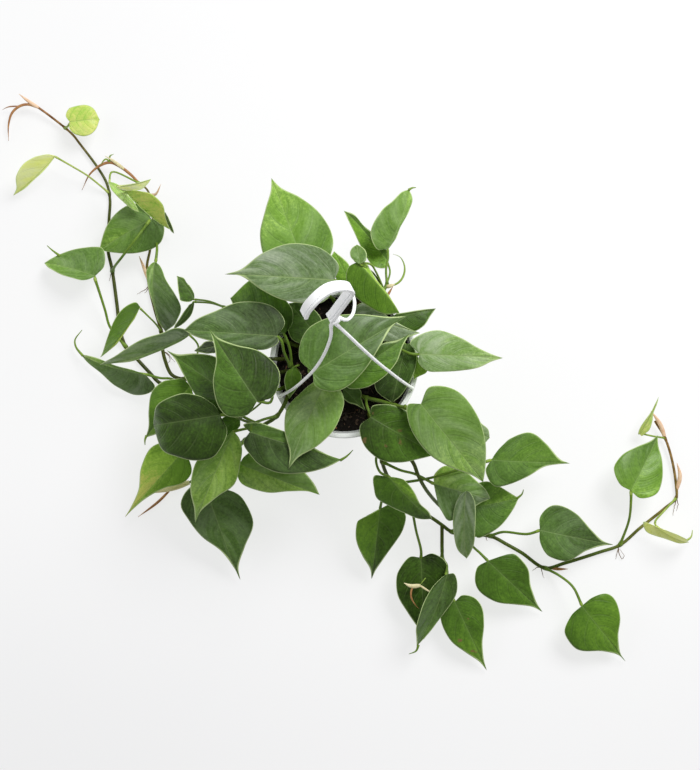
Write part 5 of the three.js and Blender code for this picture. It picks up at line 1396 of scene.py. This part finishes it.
def blade_place(shape, long, side, edge, reach):
    """A place on the blade's middle surface in its own axes, without the swellings."""
    u, v_edge, root = edge
    half = shape["half"]
    across = u * reach
    v = root + (v_edge - root) * reach ** 1.12
    middle = 4 * v * (1 - v) * long
    wave = BLADE_WAVE * math.sin(WAVE_ALONG * v + WAVE_SIDE * side)
    tip = max(0.0, v - (1 - TIP_SHARE)) / TIP_SHARE
    aside = shape["bow"] * middle
    rise = BLADE_ARCH * middle + shape["fold"] * across * half
    fall = (shape["droop"] - wave) * across * across * half + shape["curl"] * tip * tip * long
    return Vector((side * across * half + aside, v * long, rise - fall))


def blade_axes(shape, base, tip):
    """The blade's own axes: across it, along it to the tip and out of its upper face."""
    along = (tip - base).normalized()
    level = along.cross(Vector((0, 0, 1))).normalized()
    up = level.cross(along)
    roll = math.radians(shape["roll"])
    across = level * math.cos(roll) - up * math.sin(roll)
    face = up * math.cos(roll) + level * math.sin(roll)
    axes = Matrix((across, along, face)).transposed().to_4x4()
    return Matrix.Translation(base) @ axes


def blade_grid(plant, shape, long, outlines, steps, across_steps, draw):
    """The places of the blade's middle surface with how near each is to the edge, and a function
    that finds one by its side and its steps along and across. Places on the midrib are shared by
    both sides, and the notch and the tip are one place each."""
    half = shape["half"]
    ripple = [tuple(draw.uniform(*span) for span in (RIPPLE_DEPTHS, RIPPLE_TURNS, RIPPLE_STARTS))
              for _ in range(2)]
    relief = plant.relief * clamp(shape["wide"] / 60, 0.3, 1.0)
    found = {}
    places = []

    def corner(side, j, k):
        edge = outlines[side][j]
        key = (side if k else 0, j if k or edge[2] > 1e-4 else 0, k)
        if j in (0, steps):
            key = (0, j, 0)
        if key not in found:
            reach = k / across_steps
            t = j / steps
            place = blade_place(shape, long, side, edge, reach)
            phase = 2 * math.pi * (t * SIDE_VEINS - reach ** 1.6 * VEIN_BEND)
            swell = (0.5 - 0.5 * math.cos(phase)) * math.sin(math.pi * reach) ** 0.7
            deep, turns, start = ripple[0 if side < 0 else 1]
            wave = deep * half * reach ** 3 * math.sin(2 * math.pi * turns * t + start)
            from_rib = abs(edge[0]) * reach * half / GUTTER_WIDTH
            gutter = -0.5 * relief * math.exp(-from_rib ** 2)
            place.z += relief * swell + wave * math.sin(math.pi * t) + gutter
            found[key] = len(places)
            places.append((place, reach))
        return found[key]

    return places, corner


def without_repeats(corners, spots):
    """A quad's corners and spots without the repeats that stand at the midrib, notch and tip."""
    kept = [i for i in range(4) if corners[i] != corners[i - 1]]
    if len(kept) < 3 or len({corners[i] for i in kept}) < len(kept):
        return None
    return [corners[i] for i in kept], [spots[i] for i in kept]


def add_blade(form, plant, shape, axes, long, draw):
    """A blade of even thickness, thinner at its edge, swollen between its side veins."""
    half = shape["half"]
    steps, across_steps = LARGE_GRID if shape["wide"] >= SMALL_LEAF else SMALL_GRID
    outlines = blade_outlines(shape, long, steps)
    places, corner = blade_grid(plant, shape, long, outlines, steps, across_steps, draw)
    quads = []
    for side in (-1, 1):
        for j in range(steps):
            for k in range(across_steps):
                spots = [(j, k), (j, k + 1), (j + 1, k + 1), (j + 1, k)]
                if side < 0:
                    spots.reverse()
                clean = without_repeats([corner(side, *spot) for spot in spots], spots)
                if clean:
                    quads.append((side, *clean))
    normals = [Vector() for _ in places]
    for _, corners, _ in quads:
        a, b, c = (places[i][0] for i in (corners[0], corners[1], corners[-1]))
        for i in corners:
            normals[i] += (b - a).cross(c - a)

    tops, lows = [], []
    for (place, reach), normal in zip(places, normals):
        offset = normal.normalized() * (plant.blade / 2 * (1 - EDGE_THINNING * reach ** 5))
        tops.append(form.point(axes @ (place + offset)))
        lows.append(form.point(axes @ (place - offset)))
    marks = (shape["tone"], 0.0, draw.random(), *(shape[word] for word in MARK_WORDS[3:]))
    below = (marks[0], 1.0, *marks[2:])
    for side, corners, spots in quads:
        blade = [(j / steps, k / across_steps) for j, k in spots]
        flat = [(side * outlines[side][j][0] * k / across_steps * half, j / steps * long)
                for j, k in spots]
        form.face(tuple(tops[i] for i in corners), "leaf_blade", marks, blade, flat)
        form.face(tuple(lows[i] for i in reversed(corners)), "leaf_blade", below, blade[::-1],
                  flat[::-1])
    for side in (-1, 1):
        for j in range(steps):
            a = corner(side, j, across_steps)
            b = corner(side, j + 1, across_steps)
            rim = (tops[a], lows[a], lows[b], tops[b])
            blade = [(j / steps, 1.0)] * 2 + [((j + 1) / steps, 1.0)] * 2
            form.face(rim if side > 0 else rim[::-1], "leaf_blade", marks, blade,
                      [(half, 0.0)] * 4)


def on_stem(routes, place):
    """The place on a stem's routes that lies nearest to a given one."""
    best = None
    for route in routes:
        for a, b in zip(route, route[1:]):
            way = b - a
            share = clamp((place - a).dot(way) / max(way.length_squared, 1e-12))
            near = a + way * share
            gap = (near - place).length
            if best is None or gap < best[0]:
                best = (gap, near)
    return best[1]


def add_leaf(form, plant, shape, routes, draw):
    """A blade on its petiole, which goes on under the blade as its midrib. Returns where the
    petiole leaves its stem."""
    petiole = [seen(p) for p in shape["petiole"]]
    petiole[0] = on_stem(routes, petiole[0])
    base = petiole.pop()
    tip = seen(shape["tip"])
    long = (tip - base).length
    axes = blade_axes(shape, base, tip)
    add_blade(form, plant, shape, axes, long, draw)
    thick = plant.petiole_radius * clamp(shape["wide"] / 40, 0.7, 1.0)

    def rib_radius(v):
        return thick * (1 - v) ** 0.8 * RIB_SHARE + RIB_LEAST

    seats = []
    for v in SEATS:
        place = blade_place(shape, long, 1, (0.0, v, v), 0.0)
        place.z -= plant.blade / 2 + rib_radius(v)
        seats.append(axes @ place)
    stalk = smooth(petiole + seats[:1], STRIDE["petiole"])
    route = stalk + smooth(seats, STRIDE["rib"])[1:]
    start = (len(stalk) - 1) / (len(route) - 1)

    def radius(share):
        if share >= start:
            return rib_radius(SEATS[0] + (SEATS[-1] - SEATS[0]) * (share - start) / (1 - start))
        along = share / start
        foot = FOOT_SWELL * (1 - eased(0.0, 0.10, along))
        knee = KNEE_SWELL * eased(0.90, 0.97, along)
        return thick * (1.08 - 0.16 * math.sin(math.pi * along) + foot + knee)

    def marks(share):
        green = PETIOLE_GREEN[0] + PETIOLE_GREEN[1] * shape["tone"]
        return (clamp(green + (RIB_GREEN if share > start * 0.93 else 0.0)),)

    tube(form, route, radius, SIDES["petiole"], "stalk", marks)
    if shape["thread"]:
        thread = smooth([seen(p) for p in shape["thread"]], STRIDE["thread"])
        tube(form, thread, lambda share: THREAD_RADIUS * (1.0 - 0.75 * share), SIDES["thread"],
             "stalk", (0.6 + 0.3 * shape["tone"],), THREAD_FLATNESS)
    return petiole[0]


def add_stem(form, plant, route, joints, age, dry, last):
    """A stem with a swollen node where each petiole leaves it, slimmer towards its tip."""
    total = len(route) - 1

    def radius(share):
        here = route[round(share * total)]
        near = min(((here - joint).length for joint in joints), default=1.0)
        swell, spread = NODE_SWELL
        deep, away, wide = NODE_SCAR
        node = swell * math.exp(-(near / spread) ** 2)
        scar = -deep * math.exp(-((near - away) / wide) ** 2)
        slim = 1 - (1 - last) * eased(0.55, 1.0, share)
        return plant.stem_radius * slim * (0.94 + node + scar)

    def marks(share):
        tan = dry[0] + (dry[1] - dry[0]) * eased(dry[2], 1.0, share)
        return (clamp(age[0] + (age[1] - age[0]) * share), 0.0, 0.0, tan)

    tube(form, route, radius, SIDES["stem"], "stalk", marks)


def add_shoot(form, part, routes):
    """A sheath, furled leaf or dry tip, which starts on the stem or on a shoot before it."""
    route = [seen(p) for p in part["route"]]
    route[0] = on_stem(routes, route[0])
    routes.append(smooth(route, STRIDE["stem"]))

    def radius(share):
        return part["radius"] * MM * max(0.16, math.sin(math.pi * (0.25 + 0.73 * share)))

    flat = 1.0 if part["finish"] == "stalk" else SHOOT_FLATNESS
    tube(form, smooth(route, STRIDE["shoot"]), radius, SIDES["shoot"], part["finish"], (0.85,),
         flat)


def add_root(form, places, draw):
    """A short dry aerial root that wanders from a stem's node down to the surface."""
    route = smooth([seen(p) for p in places], STRIDE["root"])
    for i in range(1, len(route)):
        wander = [draw.uniform(-ROOT_WANDER_MM, ROOT_WANDER_MM) * MM for _ in range(3)]
        route[i] = route[i] + Vector(wander)
        route[i].z = max(route[i].z, ROOT_CLEARANCE)
    tube(form, route, lambda share: ROOT_RADIUS * (1 - 0.7 * share), SIDES["root"], "aerial_root")


def make_vine(plant, name, parts):
    """One leafy stem: its stem and branches, each leaf on its petiole, sheaths, furled tips and
    aerial roots."""
    draw = random.Random(f"{plant.seed} {name}")
    form = Form()
    routes = [smooth([seen(p) for p in points], STRIDE["stem"])
              for points in [parts["stem"], *parts["branches"]]]
    joints = [add_leaf(form, plant, shape, routes, draw) for shape in parts["leaves"]]
    for index, route in enumerate(routes):
        slim = BRANCH_SLIM if index else parts["slim"]
        add_stem(form, plant, route, joints, parts["age"], parts["dry"], slim)
    for part in parts["shoots"]:
        add_shoot(form, part, routes)
    for places in parts["roots"]:
        add_root(form, places, draw)
    finishes = ["leaf_blade", "stalk"] + sorted(set(form.finishes) - {"leaf_blade", "stalk"})
    form.built(f"{name}_leaves_and_stem", finishes, [name])


# The stage
FLOOR_REACH = 4.0
AIM = Vector((0, 0, 0.05))
LIGHTS = {
    "key": dict(place=(1.1, 1.6, 2.1), size=1.3, share=1.0),
    "side": dict(place=(-1.9, 0.6, 1.5), size=1.4, share=0.16),
}


def make_stage(stage):
    """The plain floor, even light from all round, two soft lights and the camera."""
    link = bpy.context.scene.collection.objects.link
    mesh = bpy.data.meshes.new("floor")
    corners = [(x * FLOOR_REACH, y * FLOOR_REACH, 0)
               for x, y in ((-1, -1), (1, -1), (1, 1), (-1, 1))]
    mesh.from_pydata(corners, [], [(0, 1, 2, 3)])
    mesh.materials.append(MATERIALS["pale_floor"])
    floor = bpy.data.objects.new("floor", mesh)
    link(floor)

    world = bpy.data.worlds.new("even_light")
    world.use_nodes = True
    backdrop = world.node_tree.nodes["Background"]
    backdrop.inputs["Color"].default_value = (1.0, 1.0, 1.0, 1.0)
    backdrop.inputs["Strength"].default_value = stage.fill
    bpy.context.scene.world = world

    for name, row in LIGHTS.items():
        light = bpy.data.lights.new(name, "AREA")
        light.shape = "SQUARE"
        light.size = row["size"]
        light.energy = stage.key * row["share"]
        lamp = bpy.data.objects.new(name, light)
        lamp.location = row["place"]
        lamp.rotation_euler = (AIM - Vector(row["place"])).to_track_quat("-Z", "Y").to_euler()
        link(lamp)

    lens = bpy.data.cameras.new("camera")
    lens.sensor_fit = "AUTO"
    lens.sensor_width = SENSOR
    lens.lens = SENSOR * EYE.z / (SURFACE_SCALE * ROWS)
    camera = bpy.data.objects.new("camera", lens)
    camera.location = EYE
    link(camera)
    bpy.context.scene.camera = camera
    bpy.context.scene.view_settings.view_transform = "Standard"


# Operators, one for each group of pieces
class POTTED_OT_finishes(bpy.types.Operator):
    """Make the materials of the plant, the pot, the soil, the hanger and the stage"""
    bl_idname = "potted.finishes"
    bl_label = "Make finishes"

    def execute(self, context):
        scene = context.scene
        white = tuple(scene.potted_pot.plastic)
        # The hanger's white is partly painted light, brighter than the pot's
        bright_white = tuple(scene.potted_hanger.plastic)
        MATERIALS.update({
            "leaf_blade": leaf_finish(scene.potted_plant),
            "stalk": stalk_finish(),
            **{name: sheath_finish(*row) for name, row in SHEATHS.items()},
            "aerial_root": root_finish(),
            "pot": plastic_finish("pot_plastic", white, 0.42),
            "hanger_plastic": plastic_finish("hanger_plastic", bright_white, 0.38),
            "peat": soil_finish(scene.potted_soil),
            "bark_chip": chip_finish(scene.potted_soil),
            "pale_floor": floor_finish(scene.potted_stage),
        })
        return {"FINISHED"}


class POTTED_OT_pot(bpy.types.Operator):
    """Turn the white pot with its lip, drain holes and hanger slots"""
    bl_idname = "potted.pot"
    bl_label = "Make pot"

    def execute(self, context):
        make_pot(context.scene.potted_pot)
        return {"FINISHED"}


class POTTED_OT_soil(bpy.types.Operator):
    """Fill the pot with crumbly soil, bark chips and fibres"""
    bl_idname = "potted.soil"
    bl_label = "Make soil"

    def execute(self, context):
        make_soil(context.scene.potted_pot, context.scene.potted_soil)
        return {"FINISHED"}


class POTTED_OT_hanger(bpy.types.Operator):
    """Make the hook with its hub and the three strands with their clips"""
    bl_idname = "potted.hanger"
    bl_label = "Make hanger"

    def execute(self, context):
        make_hook(context.scene.potted_hanger)
        for name in STRAND_ROUTES:
            make_strand(context.scene.potted_hanger, name)
        return {"FINISHED"}


class POTTED_OT_plant(bpy.types.Operator):
    """Grow every leafy stem with its leaves, petioles, sheaths and aerial roots"""
    bl_idname = "potted.plant"
    bl_label = "Make plant"

    def execute(self, context):
        for name, parts in VINES.items():
            make_vine(context.scene.potted_plant, name, parts)
        return {"FINISHED"}


class POTTED_OT_stage(bpy.types.Operator):
    """Lay the pale floor, hang the soft lights and set the camera straight above"""
    bl_idname = "potted.stage"
    bl_label = "Make stage"

    def execute(self, context):
        make_stage(context.scene.potted_stage)
        return {"FINISHED"}


GROUPS = {
    "potted_pot": PotSettings,
    "potted_soil": SoilSettings,
    "potted_hanger": HangerSettings,
    "potted_plant": PlantSettings,
    "potted_stage": StageSettings,
}
STEPS = [POTTED_OT_finishes, POTTED_OT_pot, POTTED_OT_soil, POTTED_OT_hanger, POTTED_OT_plant,
         POTTED_OT_stage]


class POTTED_PT_panel(bpy.types.Panel):
    """The plant's settings and its steps"""
    bl_idname = "POTTED_PT_panel"
    bl_label = "Potted plant"
    bl_space_type = "VIEW_3D"
    bl_region_type = "UI"
    bl_category = "Potted plant"

    def draw(self, context):
        for name, group in GROUPS.items():
            box = self.layout.box()
            box.label(text=name.replace("potted_", "").capitalize())
            for key in group.__annotations__:
                box.prop(getattr(context.scene, name), key)
        for step in STEPS:
            self.layout.operator(step.bl_idname)


CLASSES = [*GROUPS.values(), *STEPS, POTTED_PT_panel]


def register():
    for made in CLASSES:
        bpy.utils.register_class(made)
    for name, group in GROUPS.items():
        setattr(bpy.types.Scene, name, bpy.props.PointerProperty(type=group))


def unregister():
    for name in GROUPS:
        delattr(bpy.types.Scene, name)
    for made in reversed(CLASSES):
        bpy.utils.unregister_class(made)


def main():
    register()
    bpy.ops.potted.finishes()
    bpy.ops.potted.pot()
    bpy.ops.potted.soil()
    bpy.ops.potted.hanger()
    bpy.ops.potted.plant()
    bpy.ops.potted.stage()


if __name__ == "__main__":
    main()
